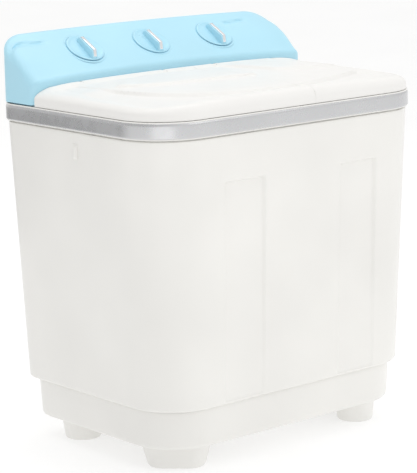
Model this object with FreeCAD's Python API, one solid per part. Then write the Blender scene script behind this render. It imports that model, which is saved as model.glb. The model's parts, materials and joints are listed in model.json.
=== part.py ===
"""Twin tub washer: wash tub on the left, spin tub on the right, controls along the back.

Frame: X to the right, Y to the rear, Z up, millimetres.
Origin: floor level, under the centre of the trim band.
Each function near the end builds one group of pieces, and every piece is saved as its own node.
"""
import FreeCAD, Part
import math
import os

V = FreeCAD.Vector
X_AXIS = V(1, 0, 0)
Y_AXIS = V(0, 1, 0)
Z_AXIS = V(0, 0, 1)
ORIGIN = V(0, 0, 0)

# ---- driving dimensions of the casing -------------------------------------------------
HALF_WIDTH = 295.0          # trim band, outside
HALF_DEPTH = 209.0
FRONT_RADIUS = 91.0         # plan radius of the front corners
REAR_RADIUS = 42.0          # plan radius of the rear corners
FLOOR_LEVEL = -5.0          # drawn levels count from 5 mm over the floor; save() lifts every piece onto it
SKIRT_BOTTOM = 32.0
SKIRT_TOP = 98.0
BODY_TOP = 530.0
DECK_LIP_BOTTOM = 532.5     # the shadow gap over the body
BAND_BOTTOM = 535.0
BAND_TOP = 556.0
RIM_TOP = 560.5
LID_BOTTOM = 562.0
WALL = 3.0
CLEAR = 0.5

# half width, half depth, front radius, rear radius at each level
SKIRT_LOW = (263.4, 181.0, 82.0, 44.0)
SKIRT_HIGH = (266.7, 184.0, 85.0, 46.0)
BODY_LOW = (276.1, 193.4, 87.0, 40.0)
BODY_HIGH = (291.7, 206.4, 91.0, 42.0)

# feet: rounded blocks set across the corners
FOOT_CENTRE = (199.5, 121.0)
FOOT_LOW = (92.0, 60.0)
FOOT_HIGH = (112.0, 66.0)
FOOT_CORNER = 27.0
FOOT_FLOOR = 4.0

# details of the walls
FLUTES = ((-157.0, -78.0, 458.0), (90.0, 166.0, 457.0))     # left, right and top of each channel
FLUTE_START = SKIRT_TOP + 4.0
FLUTE_DEPTH = (1.6, 5.0)    # at its foot and at its top
FLUTE_BEVEL = 7.0
PANEL = (-250.0, -60.0, 120.0, 340.0)
PANEL_LAP = 10.0
PANEL_THICKNESS = 1.5
GLAND = (205.0, 480.0)
GLAND_R = 9.0
GLAND_NECK_R = 6.8
CORD_R = 4.0
HOOK_Y = 1.0
HOOK_Z = (486.0, 516.0)
HOOK_HALF = 6.0
SLOT_PITCH = 22.0           # cooling slots in the tray
SLOT_HALF = (30.0, 4.0)

LIP_GAP = 1.4               # how far the deck rim stands in from the face of the trim band
RIM_WALL = 4.0
BAND_SEAT = 1.6             # depth of the groove the band sits in
BAND_FIT = 0.2
BAND_WALL = 2.9
BAND_EDGE = 1.4
DECK_SKIRT = 14.0           # how far the deck reaches down inside the body

# ---- tubs ----------------------------------------------------------------------------
LID_SEAM_X = 34.0
DECK_TOP = 556.0
DECK_PLATE = 3.0
TUB_RIM_Z = DECK_TOP - DECK_PLATE
WASH_X = (-274.0, 16.0)
WASH_Y = (-182.0, 90.0)
WASH_DRAFT = 13.0
WASH_CORNER = 62.0
WASH_FLOOR_Z = 206.0
TUB_FLOOR = 4.0
SPIN_CENTRE = (157.0, -42.0)
SPIN_TUB_R = 118.0
SPIN_TUB_FLOOR_Z = 236.0
BASKET_R = 103.0
BASKET_FLOOR_Z = 254.0
BASKET_TOP_Z = 522.0
RING_TOP_Z = 545.0

# ---- wash drive ----------------------------------------------------------------------
WASH_CENTRE = (-128.0, -46.0)
PULSATOR_R = 105.0
WASH_SHAFT_R = 6.0
PULLEY_Z = (112.0, 128.0)
LARGE_PULLEY_R = 75.0
MOTOR_PULLEY_R = 25.0
GROOVE_DEPTH = 6.0
BELT_THICKNESS = 5.0
BELT_GAP = 0.4
MOTOR_CENTRE = (-128.0, 100.0)
RUNNING_GAP = 0.06

# ---- spin drive ----------------------------------------------------------------------
SPIN_SHAFT_R = 8.0
DRUM_R = 40.0
DRUM_Z = (198.0, 222.0)
SPIN_MOTOR_R = 60.0
SPIN_MOTOR_Z = (112.0, 186.0)
MOUNT_REACH = 86.0          # from the spin axis to each rubber mount
BRAKE_PIVOT = (112.0, 14.0)
BRAKE_ARM_LENGTH = 104.0
SHOE_GAP = 1.6
CRANK_X = 214.0             # the small lever that the spin lid works
CRANK_Y = 118.0
CRANK_AXLE_Z = 566.0
CRANK_AXLE_R = 2.0
CRANK_FOOT_Z = 530.0
BRAKE_ARM_Z = (204.0, 210.0)
BRAKE_ARM_HALF = 5.0
BRAKE_PIN_R = 4.0
SHOE_HALF = 14.0
CABLE_R = 1.5

# ---- drain ---------------------------------------------------------------------------
DRAIN_AXIS = (-20.0, 114.0)
DRAIN_CHAMBER_R = 20.0
DRAIN_PLUG_Z = 190.0
DRAIN_OUT_Z = 124.0
DRAIN_SPIGOT_R = 13.0
SPIN_DRAIN = (80.0, -10.0)
INLET_DROP = (-225.0, 124.0)

# ---- console -------------------------------------------------------------------------
CONSOLE_HALF = 293.5
CONSOLE_FRONT_Y = 105.0
CONSOLE_REAR_Y = 208.0
CONSOLE_BOTTOM = 563.0
CREASE_Z = 610.0
CONSOLE_TOP = 670.5
SLOPE_START_Y = 107.0
SLOPE_END_Y = 194.0
CONSOLE_WALL = 2.5
CONSOLE_END_RADIUS = 38.0
COVER_FRONT_Y = 203.0
INLET_X = -225.0
INLET_Z = 610.0
INLET_R = 8.0
POCKET_DEPTH = 22.0
POCKET_HALF = 20.0
POCKET_WALL = 2.0
KNOB_MIDDLE_X = -10.0
KNOB_PITCH = 141.0
KNOB_ALONG_SLOPE = 54.0
KNOB_R = 33.0
KNOB_GAP = 0.8
DIAL_THICKNESS = 4.0
BLADE_HALF = 5.5
BLADE_SIDE = ((-31.0, 3.0), (-21.5, 14.2), (18.0, 11.0), (24.0, 3.0))   # up the slope, off the slope
STRIP_HALF = 2.2
STRIP_THICKNESS = 1.2
STRIP_SPAN = (0.80, 0.94)    # share of the blade's lower end and of its top
SPINDLE_R = 3.0

# ---- lids ----------------------------------------------------------------------------
LID_HALF = 292.5
LID_FRONT_Y = -206.5
LID_REAR_Y = 104.0
CROWN_Z = 598.0
LID_SKIN = 2.6
LID_GAP = 0.6
LID_SHOULDER = 7.0          # fall of the crown from the middle to each end
LID_CORNER = 17.0           # round over at each end
LID_BROW = 28.0             # round over along the front
LID_FALL = 6.0              # fall of the crown towards the front
HINGE_Y = 96.0
HINGE_Z = 590.0
HINGE_PIN_R = 2.5
KNUCKLE_R = 4.8
KNUCKLE_WIDTH = 7.0
HINGE_X = (-205.0, -30.0, 80.0, 215.0)


# ---- drawing helpers -----------------------------------------------------------------
def plan_wire(half_w, half_d, r_front, r_rear, z):
    """Rounded rectangle seen from above, with its own front and rear corner radii."""
    return corner_wire(-half_w, half_w, -half_d, half_d, r_front, r_rear, z)


def corner_wire(x0, x1, y0, y1, r_front, r_rear, z):
    s = math.sqrt(0.5)
    corners = [
        (x0, y0, 1, 1, r_front),
        (x1, y0, -1, 1, r_front),
        (x1, y1, -1, -1, r_rear),
        (x0, y1, 1, -1, r_rear),
    ]
    edges = []
    stops = []
    for index, (cx, cy, sx, sy, r) in enumerate(corners):
        along_x = V(cx + sx * r, cy, z)
        along_y = V(cx, cy + sy * r, z)
        middle = V(cx + sx * r * (1 - s), cy + sy * r * (1 - s), z)
        start, end = (along_y, along_x) if index % 2 == 0 else (along_x, along_y)
        stops.append((start, middle, end))
    for index, (start, middle, end) in enumerate(stops):
        edges.append(Part.Arc(start, middle, end).toShape())
        following = stops[(index + 1) % 4][0]
        edges.append(Part.makeLine(end, following))
    return Part.Wire(edges)


def loft(low, high):
    return Part.makeLoft([low, high], True, True)


def plan_prism(size, z0, z1, inset=0.0):
    half_w, half_d, r_front, r_rear = size
    wire = plan_wire(half_w - inset, half_d - inset, r_front - inset, r_rear - inset, z0)
    return Part.Face(wire).extrude(V(0, 0, z1 - z0))


def plan_loft(low, high, z0, z1, inset=0.0):
    wires = []
    for (half_w, half_d, r_front, r_rear), z in ((low, z0), (high, z1)):
        wires.append(plan_wire(half_w - inset, half_d - inset, r_front - inset, r_rear - inset, z))
    return loft(*wires)


def size_at(low, high, z0, z1, z):
    """The plan size of a tapered body at height z."""
    t = (z - z0) / (z1 - z0)
    return tuple(a + (b - a) * t for a, b in zip(low, high))


def box(x0, x1, y0, y1, z0, z1):
    return Part.makeBox(x1 - x0, y1 - y0, z1 - z0, V(x0, y0, z0))


def post(r, x, y, z0, z1):
    return Part.makeCylinder(r, z1 - z0, V(x, y, z0), Z_AXIS)


def pipe_z(r_out, r_in, x, y, z0, z1):
    return post(r_out, x, y, z0, z1).cut(post(r_in, x, y, z0 - 1, z1 + 1))


def bar_x(r, x0, x1, y, z):
    return Part.makeCylinder(r, x1 - x0, V(x0, y, z), X_AXIS)


def bar_y(r, x, y0, y1, z):
    return Part.makeCylinder(r, y1 - y0, V(x, y0, z), Y_AXIS)


def revolve(points, x, y):
    """Turn an (radius, z) outline about the vertical through x, y."""
    outline = Part.makePolygon([V(x + r, y, z) for r, z in points + points[:1]])
    return Part.Face(outline).revolve(V(x, y, 0), Z_AXIS, 360)


def around(shape, x, y, count, start=0.0):
    copies = []
    for index in range(count):
        copy = shape.copy()
        copy.rotate(V(x, y, 0), Z_AXIS, start + 360.0 * index / count)
        copies.append(copy)
    return copies


def swept_tube(points, bend_radius, r_out, r_in=0.0):
    """A tube along two straight runs joined by one arc."""
    first, corner, last = points
    back = (first - corner).normalize()
    ahead = (last - corner).normalize()
    half_angle = back.getAngle(ahead) / 2
    reach = bend_radius / math.tan(half_angle)
    start = corner + back * reach
    end = corner + ahead * reach
    bisector = (back + ahead).normalize()
    middle = corner + bisector * (bend_radius / math.sin(half_angle) - bend_radius)
    run_in = Part.makeLine(first, start)
    arc = Part.Arc(start, middle, end).toShape()
    run_out = Part.makeLine(end, last)
    path = Part.Wire([run_in, arc, run_out])
    direction = (start - first).normalize()

    def sweep(radius):
        ring = Part.Wire(Part.Circle(first, direction, radius).toShape())
        return path.makePipeShell([ring], True, False)

    tube = sweep(r_out)
    return tube.cut(sweep(r_in)) if r_in else tube


saved = []


def save(node, *shapes):
    """Write one node as a STEP file of separate solids."""
    solids = []
    for shape in shapes:
        solids.extend(shape.removeSplitter().Solids)
    for solid in solids:
        if not solid.isValid() or solid.Volume <= 0:
            print("BAD SOLID", node)
    result = solids[0].copy() if len(solids) == 1 else Part.makeCompound(solids)
    result.translate(V(0, 0, -FLOOR_LEVEL))
    result.exportStep("parts/" + node + ".step")
    saved.append((node, len(solids), result.BoundBox, result.Volume))


# ---- casing --------------------------------------------------------------------------
def body_loft(inset=0.0):
    return plan_loft(BODY_LOW, BODY_HIGH, SKIRT_TOP, BODY_TOP, inset)


def foot_block(low, high, z0, z1, inset):
    """A rounded block about the origin that widens upwards."""
    wires = []
    for (length, width), z in ((low, z0), (high, z1)):
        half_l = length / 2 - inset
        half_w = width / 2 - inset
        wires.append(corner_wire(-half_l, half_l, -half_w, half_w, FOOT_CORNER - inset, FOOT_CORNER - inset, z))
    return loft(*wires)


def make_feet():
    block = foot_block(FOOT_LOW, FOOT_HIGH, FLOOR_LEVEL, SKIRT_BOTTOM, 0.0)
    hollow = foot_block(FOOT_LOW, FOOT_HIGH, FLOOR_LEVEL + FOOT_FLOOR, SKIRT_BOTTOM, WALL)
    block = block.cut(hollow)
    feet = []
    for sx, sy in ((-1, -1), (1, -1), (-1, 1), (1, 1)):
        foot = block.copy()
        foot.rotate(ORIGIN, Z_AXIS, -45.0 * sx * sy)
        foot.translate(V(sx * FOOT_CENTRE[0], sy * FOOT_CENTRE[1], 0))
        feet.append(foot)
    save("feet", *feet)


def make_base():
    outer = plan_loft(SKIRT_LOW, SKIRT_HIGH, SKIRT_BOTTOM, SKIRT_TOP)
    inner = plan_loft(SKIRT_LOW, SKIRT_HIGH, SKIRT_BOTTOM, SKIRT_TOP, WALL)
    inner = inner.common(box(-300, 300, -220, 220, SKIRT_BOTTOM + WALL, SKIRT_TOP + 1))
    tray = outer.cut(inner)
    slots = []
    for centre_x in (WASH_CENTRE[0], SPIN_CENTRE[0]):
        for row in range(-3, 4):
            y = row * SLOT_PITCH
            half_x, half_y = SLOT_HALF
            slots.append(box(centre_x - half_x, centre_x + half_x, y - half_y, y + half_y,
                             SKIRT_BOTTOM - 1, SKIRT_BOTTOM + WALL + 1))
    tray = tray.cut(Part.makeCompound(slots))
    save("base_skirt", tray)


def flute(x0, x1, z_top):
    """A shallow channel in the front wall, deepest at its top."""
    front_low = -size_at(BODY_LOW, BODY_HIGH, SKIRT_TOP, BODY_TOP, FLUTE_START)[1]
    front_high = -size_at(BODY_LOW, BODY_HIGH, SKIRT_TOP, BODY_TOP, z_top)[1]
    depth_low, depth_high = FLUTE_DEPTH
    faces = []
    for z, front, depth in ((FLUTE_START, front_low, depth_low), (z_top, front_high, depth_high)):
        points = [V(x0 - 1, front - 6, z), V(x1 + FLUTE_BEVEL + 2, front - 6, z), V(x1 + FLUTE_BEVEL, front, z),
                  V(x1, front + depth, z), V(x0 + 1, front + depth, z)]
        faces.append(Part.makePolygon(points + points[:1]))
    return loft(*faces)


def make_cabinet():
    shell = body_loft().cut(body_loft(WALL))
    lip_low = size_at(BODY_LOW, BODY_HIGH, SKIRT_TOP, BODY_TOP, SKIRT_TOP)
    lip = plan_prism(lip_low, SKIRT_TOP, SKIRT_TOP + WALL, 1.0)
    lip = lip.cut(plan_prism(SKIRT_HIGH, SKIRT_TOP - 1, SKIRT_TOP + WALL + 1, WALL + 1))
    shell = shell.fuse(lip)
    for channel in FLUTES:
        cutter = flute(*channel)
        backing = cutter.copy()
        backing.translate(V(0, WALL, 0))
        backing = backing.common(body_loft())
        shell = shell.fuse(backing).cut(cutter)
    x0, x1, z0, z1 = PANEL
    shell = shell.cut(box(x0 + PANEL_LAP, x1 - PANEL_LAP, 150, 215, z0 + PANEL_LAP, z1 - PANEL_LAP))
    shell = shell.cut(bar_y(DRAIN_SPIGOT_R + 1, DRAIN_AXIS[0], 150, 215, DRAIN_OUT_Z))
    shell = shell.cut(bar_y(GLAND_NECK_R + 0.2, GLAND[0], 150, 215, GLAND[1]))
    side = size_at(BODY_LOW, BODY_HIGH, SKIRT_TOP, BODY_TOP, HOOK_Z[0])[0]
    stem = box(-side - 2.4, -side + 1, HOOK_Y - HOOK_HALF, HOOK_Y + HOOK_HALF, HOOK_Z[0], HOOK_Z[0] + 9)
    tongue = box(-side - 4.6, -side - 2.2, HOOK_Y - HOOK_HALF, HOOK_Y + HOOK_HALF, *HOOK_Z)
    shell = shell.fuse(stem).fuse(tongue)
    save("cabinet_shell", shell)
    skin = plan_loft(BODY_LOW, BODY_HIGH, SKIRT_TOP, BODY_TOP, -PANEL_THICKNESS).cut(body_loft())
    save("service_panel", skin.common(box(x0, x1, 150, 215, z0, z1)))
    tip_y = size_at(BODY_LOW, BODY_HIGH, SKIRT_TOP, BODY_TOP, GLAND[1])[1]
    gland = bar_y(GLAND_NECK_R, GLAND[0], tip_y - 9, tip_y + 0.4, GLAND[1])
    gland = gland.fuse(bar_y(GLAND_R, GLAND[0], tip_y + 0.4, HALF_DEPTH - 0.4, GLAND[1]))
    gland = gland.cut(bar_y(CORD_R, GLAND[0], tip_y - 20, HALF_DEPTH + 5, GLAND[1]))
    save("cord_gland", gland)


def make_deck():
    band_size = (HALF_WIDTH, HALF_DEPTH, FRONT_RADIUS, REAR_RADIUS)
    rim_size = tuple(value - LIP_GAP for value in band_size)
    rim = plan_prism(rim_size, DECK_LIP_BOTTOM, RIM_TOP)
    rim = rim.cut(plan_prism(rim_size, DECK_LIP_BOTTOM - 1, RIM_TOP + 1, RIM_WALL))
    seat = plan_prism(rim_size, BAND_BOTTOM, BAND_TOP)
    seat = seat.cut(plan_prism(rim_size, BAND_BOTTOM - 1, BAND_TOP + 1, BAND_SEAT))
    rim = rim.cut(seat)
    plate = plan_prism(rim_size, DECK_TOP - DECK_PLATE, DECK_TOP, WALL)
    plug_size = tuple(value - WALL - 2 * CLEAR - 0.2 for value in BODY_HIGH)
    plug_bottom = BODY_TOP - DECK_SKIRT
    plug = plan_prism(plug_size, plug_bottom, DECK_LIP_BOTTOM + WALL)
    plug = plug.cut(plan_prism(plug_size, plug_bottom - 1, DECK_LIP_BOTTOM + WALL + 1, WALL))
    ledge = plan_prism(rim_size, DECK_LIP_BOTTOM, DECK_LIP_BOTTOM + WALL, 2.0)
    ledge = ledge.cut(plan_prism(plug_size, DECK_LIP_BOTTOM - 1, DECK_LIP_BOTTOM + WALL + 1, WALL))
    deck = rim.fuse(plate).fuse(plug).fuse(ledge)
    wash_hole = Part.Face(corner_wire(WASH_X[0] + WALL, WASH_X[1] - WALL, WASH_Y[0] + WALL, WASH_Y[1] - WALL,
                                      WASH_CORNER - WALL, WASH_CORNER - WALL, DECK_TOP - 10))
    deck = deck.cut(wash_hole.extrude(V(0, 0, 20)))
    deck = deck.cut(post(SPIN_TUB_R - WALL, *SPIN_CENTRE, DECK_TOP - 10, DECK_TOP + 10))
    deck = deck.cut(post(5, *DRAIN_AXIS, DECK_TOP - 10, DECK_TOP + 10))
    deck = deck.cut(post(9.4, *INLET_DROP, DECK_TOP - 10, DECK_TOP + 10))
    deck = deck.cut(box(CRANK_X - 8, CRANK_X + 8, CRANK_Y - 6, CRANK_Y + 6, DECK_TOP - 10, DECK_TOP + 10))
    deck = deck.fuse(bar_x(CRANK_AXLE_R, CRANK_X - 12, CRANK_X + 12, CRANK_Y, CRANK_AXLE_Z))
    for side in (-1, 1):
        x_low = CRANK_X + side * 10 - 2
        deck = deck.fuse(box(x_low, x_low + 4, CRANK_Y - 5, CRANK_Y + 5, DECK_TOP - 1, CRANK_AXLE_Z + 5))
    save("top_deck", deck)
    band = plan_prism(band_size, BAND_BOTTOM + BAND_FIT, BAND_TOP - BAND_FIT)
    band = band.cut(plan_prism(band_size, BAND_BOTTOM - 1, BAND_TOP + 1, BAND_WALL))
    outer_edges = []
    for edge in band.Edges:
        bounds = edge.BoundBox
        level = abs(bounds.ZLength) < 0.01
        reach = max(abs(bounds.XMin), abs(bounds.XMax), abs(bounds.YMin) + 86, abs(bounds.YMax) + 86)
        if level and reach > HALF_WIDTH - 0.5:
            outer_edges.append(edge)
    band = band.makeFillet(BAND_EDGE, outer_edges)
    save("trim_band", band)


# ---- wash side -----------------------------------------------------------------------
def wash_box(inset, z0, z1):
    """The wash tub's tapered volume, between its floor level and its rim."""
    span = TUB_RIM_Z - WASH_FLOOR_Z
    wires = []
    for z in (z0, z1):
        pull = WASH_DRAFT * (TUB_RIM_Z - z) / span + inset
        wires.append(corner_wire(WASH_X[0] + pull, WASH_X[1] - pull, WASH_Y[0] + pull, WASH_Y[1] - pull,
                                 WASH_CORNER - inset, WASH_CORNER - inset, z))
    return loft(*wires)


def make_wash_tub():
    tub = wash_box(0, WASH_FLOOR_Z, TUB_RIM_Z).cut(wash_box(WALL, WASH_FLOOR_Z + TUB_FLOOR, TUB_RIM_Z))
    flange = Part.Face(corner_wire(WASH_X[0] - 6, WASH_X[1] + 6, WASH_Y[0] - 6, WASH_Y[1] + 6,
                                   WASH_CORNER + 6, WASH_CORNER + 6, TUB_RIM_Z - WALL)).extrude(V(0, 0, WALL))
    flange = flange.cut(wash_box(0, WASH_FLOOR_Z, TUB_RIM_Z))
    tub = tub.fuse(flange)
    tub = tub.cut(post(10, *WASH_CENTRE, WASH_FLOOR_Z - 1, WASH_FLOOR_Z + TUB_FLOOR + 1))
    duct_x, duct_y = DRAIN_AXIS
    tub = tub.cut(box(duct_x - 9, duct_x + 9, 60, 95, WASH_FLOOR_Z + 6, WASH_FLOOR_Z + 18))
    save("wash_tub", tub)
    wall_y = WASH_Y[1] - WALL - 6.5
    frame = box(-160, -96, wall_y - 12, wall_y - 1, 380, 470)
    frame = frame.cut(box(-154, -102, wall_y - 13, wall_y - 4, 386, 464))
    net = box(-154, -102, wall_y - 6, wall_y - 4, 386, 464)
    frame = frame.fuse(net)
    tabs = box(-140, -116, wall_y - 1, wall_y + 2.0, 440, 452)
    save("lint_filter", frame.fuse(tabs))


def make_pulsator():
    x, y = WASH_CENTRE
    low = WASH_FLOOR_Z + TUB_FLOOR + 3.0
    dish = revolve([(WASH_SHAFT_R, low), (PULSATOR_R, low), (PULSATOR_R, low + 4), (PULSATOR_R - 12, low + 5),
                    (34, low + 9), (26, low + 17), (12, low + 20), (WASH_SHAFT_R, low + 20)], x, y)
    vane = Part.makePolygon([V(x + 20, y - 5, low + 3), V(x + 92, y - 11, low + 3), V(x + 98, y, low + 3),
                             V(x + 92, y + 11, low + 3), V(x + 20, y + 5, low + 3), V(x + 20, y - 5, low + 3)])
    vane = Part.Face(vane).extrude(V(0, 0, 13))
    pulsator = dish
    for copy in around(vane, x, y, 4, 45):
        pulsator = pulsator.fuse(copy)
    pulsator = pulsator.cut(post(WASH_SHAFT_R, x, y, low - 1, low + 30))
    save("pulsator", pulsator)
    shaft = post(WASH_SHAFT_R, x, y, PULLEY_Z[0] - 2, low + 18)
    save("pulsator_shaft", shaft)
    screw = post(WASH_SHAFT_R, x, y, low + 18, low + 20).fuse(post(9, x, y, low + 20, low + 24))
    screw = screw.cut(box(x - 1, x + 1, y - 10, y + 10, low + 22.5, low + 26))
    save("pulsator_screw", screw)
    housing = post(22, x, y, 140, WASH_FLOOR_Z).fuse(post(40, x, y, 197, 203))
    housing = housing.fuse(post(9.8, x, y, WASH_FLOOR_Z - 1, WASH_FLOOR_Z + TUB_FLOOR + 1))
    housing = housing.cut(post(WASH_SHAFT_R + RUNNING_GAP, x, y, 130, 220))
    save("pulsator_bearing", housing)


def grooved_pulley(x, y, radius, bore):
    z0, z1 = PULLEY_Z
    middle = (z0 + z1) / 2
    root = radius - GROOVE_DEPTH
    profile = [(bore, z0), (radius, z0), (radius, middle - 4.5), (root, middle - 4.0), (root, middle + 4.0),
               (radius, middle + 4.5), (radius, z1), (bore, z1)]
    return revolve(profile, x, y)


def belt_outline(radius_a, radius_b, z):
    """Two arcs joined by their outer tangents; the pulleys lie along Y."""
    ax, ay = WASH_CENTRE
    bx, by = MOTOR_CENTRE
    distance = by - ay
    lean = math.asin((radius_a - radius_b) / distance)
    side = V(math.cos(lean), math.sin(lean), 0)
    a = V(ax, ay, z)
    b = V(bx, by, z)
    mirror = V(-side.x, side.y, 0)
    edges = [
        Part.Arc(a + mirror * radius_a, a - Y_AXIS * radius_a, a + side * radius_a).toShape(),
        Part.makeLine(a + side * radius_a, b + side * radius_b),
        Part.Arc(b + side * radius_b, b + Y_AXIS * radius_b, b + mirror * radius_b).toShape(),
        Part.makeLine(b + mirror * radius_b, a + mirror * radius_a),
    ]
    return Part.Face(Part.Wire(edges))


def make_wash_drive():
    x, y = WASH_CENTRE
    mx, my = MOTOR_CENTRE
    large = grooved_pulley(x, y, LARGE_PULLEY_R, WASH_SHAFT_R)
    windows = around(post(14, x + 42, y, PULLEY_Z[0] - 1, PULLEY_Z[1] + 1), x, y, 5)
    save("large_pulley", large.cut(Part.makeCompound(windows)))
    save("motor_pulley", grooved_pulley(mx, my, MOTOR_PULLEY_R, 5.0))
    middle = (PULLEY_Z[0] + PULLEY_Z[1]) / 2
    root_a = LARGE_PULLEY_R - GROOVE_DEPTH + BELT_GAP
    root_b = MOTOR_PULLEY_R - GROOVE_DEPTH + BELT_GAP
    belt = belt_outline(root_a + BELT_THICKNESS, root_b + BELT_THICKNESS, middle - 3)
    belt = belt.cut(belt_outline(root_a, root_b, middle - 3))
    save("drive_belt", belt.extrude(V(0, 0, 6)))
    save("wash_motor_shaft", post(5, mx, my, PULLEY_Z[0] - 2, 190))
    motor = revolve([(0, 134), (30, 134), (36, 140), (56, 146), (56, 190), (36, 196), (0, 196)], mx, my)
    lugs = Part.makeCompound(around(post(9, mx + 58, my, 196, 203), mx, my, 4, 45))
    arms = around(box(mx + 30, mx + 58, my - 6, my + 6, 190, 200), mx, my, 4, 45)
    for piece in arms:
        motor = motor.fuse(piece)
    for lug in lugs.Solids:
        motor = motor.fuse(lug)
    motor = motor.cut(post(5 + RUNNING_GAP, mx, my, 130, 192))
    save("wash_motor", motor)
    plate = box(-220, -44, -130, 166, 203, WASH_FLOOR_Z)
    plate = plate.cut(post(22, x, y, 200, 210))
    plate = plate.cut(box(-200, -56, -118, -96, 200, 210))
    save("drive_plate", plate)


# ---- spin side -----------------------------------------------------------------------
def make_spin_tub():
    x, y = SPIN_CENTRE
    low = SPIN_TUB_FLOOR_Z
    profile = [(18, low), (SPIN_TUB_R, low), (SPIN_TUB_R, TUB_RIM_Z - WALL), (SPIN_TUB_R + 5, TUB_RIM_Z - WALL),
               (SPIN_TUB_R + 5, TUB_RIM_Z), (SPIN_TUB_R - WALL, TUB_RIM_Z), (SPIN_TUB_R - WALL, low + WALL),
               (24, low + WALL), (24, low + 6), (18, low + 6)]
    tub = revolve(profile, x, y)
    tub = tub.cut(post(8, *SPIN_DRAIN, low - 1, low + WALL + 1))
    save("spin_outer_tub", tub)
    seal = revolve([(SPIN_SHAFT_R + RUNNING_GAP, low - 9), (14, low - 9), (17.8, low - 1), (17.8, low + 6),
                    (22, low + 6), (22, low + 8), (12, low + 8), (SPIN_SHAFT_R + RUNNING_GAP, low + 5)], x, y)
    save("spin_seal", seal)


def make_spin_basket():
    x, y = SPIN_CENTRE
    low = BASKET_FLOOR_Z
    wall = 1.6
    profile = [(0, low), (40, low), (46, low + 4), (BASKET_R - 8, low + 4), (BASKET_R, low + 12),
               (BASKET_R, BASKET_TOP_Z), (BASKET_R - wall, BASKET_TOP_Z), (BASKET_R - wall, low + 13),
               (BASKET_R - 9, low + 4 + wall), (45, low + 4 + wall), (39, low + wall), (0, low + wall)]
    basket = revolve(profile, x, y)
    hole = Part.makeCylinder(3.0, 20, V(x + BASKET_R - 10, y, 0), X_AXIS)
    holes = []
    for row in range(7):
        for copy in around(hole, x, y, 16, 11.25 * (row % 2)):
            copy.translate(V(0, 0, low + 36 + row * 32))
            holes.append(copy)
    save("spin_basket", basket.cut(Part.makeCompound(holes)))
    ring = revolve([(BASKET_R + 3, BASKET_TOP_Z), (BASKET_R + 3, RING_TOP_Z - 4), (BASKET_R - 1, RING_TOP_Z),
                    (BASKET_R - 10, RING_TOP_Z), (BASKET_R - 15, RING_TOP_Z - 6), (BASKET_R - 15, BASKET_TOP_Z)], x, y)
    save("balance_ring", ring)
    top = low + 4 + wall
    disc = post(84, x, y, top, top + 3)
    disc = disc.cut(Part.makeCompound(around(post(6, x + 50, y, top - 1, top + 9), x, y, 8)))
    disc = disc.fuse(pipe_z(84, 80, x, y, top + 3, top + 7))
    grip = box(x - 26, x + 26, y - 4, y + 4, top + 3, top + 17)
    save("spin_press_disc", disc.fuse(grip))
    hub = post(34, x, y, low - 5, low).fuse(post(SPIN_SHAFT_R, x, y, DRUM_Z[1] - 12, low - 5))
    save("spin_shaft", hub)
    drum = post(DRUM_R, x, y, *DRUM_Z)
    drum = drum.cut(pipe_z(DRUM_R - 4, 15, x, y, DRUM_Z[0] - 1, DRUM_Z[1] - 5))
    drum = drum.cut(post(SPIN_SHAFT_R, x, y, DRUM_Z[1] - 12, DRUM_Z[1] + 1))
    drum = drum.cut(post(6, x, y, DRUM_Z[0] - 1, DRUM_Z[1] - 12))
    save("brake_drum", drum)
    save("spin_motor_shaft", post(6, x, y, SPIN_MOTOR_Z[0] + 4, DRUM_Z[1] - 12))


def make_spin_motor():
    x, y = SPIN_CENTRE
    z0, z1 = SPIN_MOTOR_Z
    motor = revolve([(0, z0), (34, z0), (SPIN_MOTOR_R, z0 + 8), (SPIN_MOTOR_R, z1 - 8), (34, z1), (0, z1)], x, y)
    for arm in around(box(x + 40, x + MOUNT_REACH + 10, y - 9, y + 9, z0 + 9, z0 + 15), x, y, 3, 30):
        motor = motor.fuse(arm)
    motor = motor.cut(post(6 + RUNNING_GAP, x, y, z0 + 3, z1 + 1))
    save("spin_motor", motor)
    floor = SKIRT_BOTTOM + WALL
    seat = z0 + 9
    boot_points = [(17, floor), (24, floor), (24, floor + 4)]
    for step in range(4):
        level = floor + 4 + step * 18
        boot_points.append((17.0, level + 8))
        boot_points.append((22.0, level + 16))
    boot_points.append((17.0, seat))
    boot_points.append((14.0, seat))
    boot_points.append((14.0, floor))
    boot = revolve(boot_points, x + MOUNT_REACH, y)
    save("suspension_boots", *around(boot, x, y, 3, 30))
    turns = 6
    pitch = (seat - floor - 6) / turns
    helix = Part.makeHelix(pitch, pitch * turns, 9.0)
    wire_ring = Part.Wire(Part.Circle(V(9, 0, 0), Y_AXIS, 1.5).toShape())
    coil = Part.Wire(helix).makePipeShell([wire_ring], True, True)
    coil.translate(V(x + MOUNT_REACH, y, floor + 3))
    save("suspension_springs", *around(coil, x, y, 3, 30))


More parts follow.
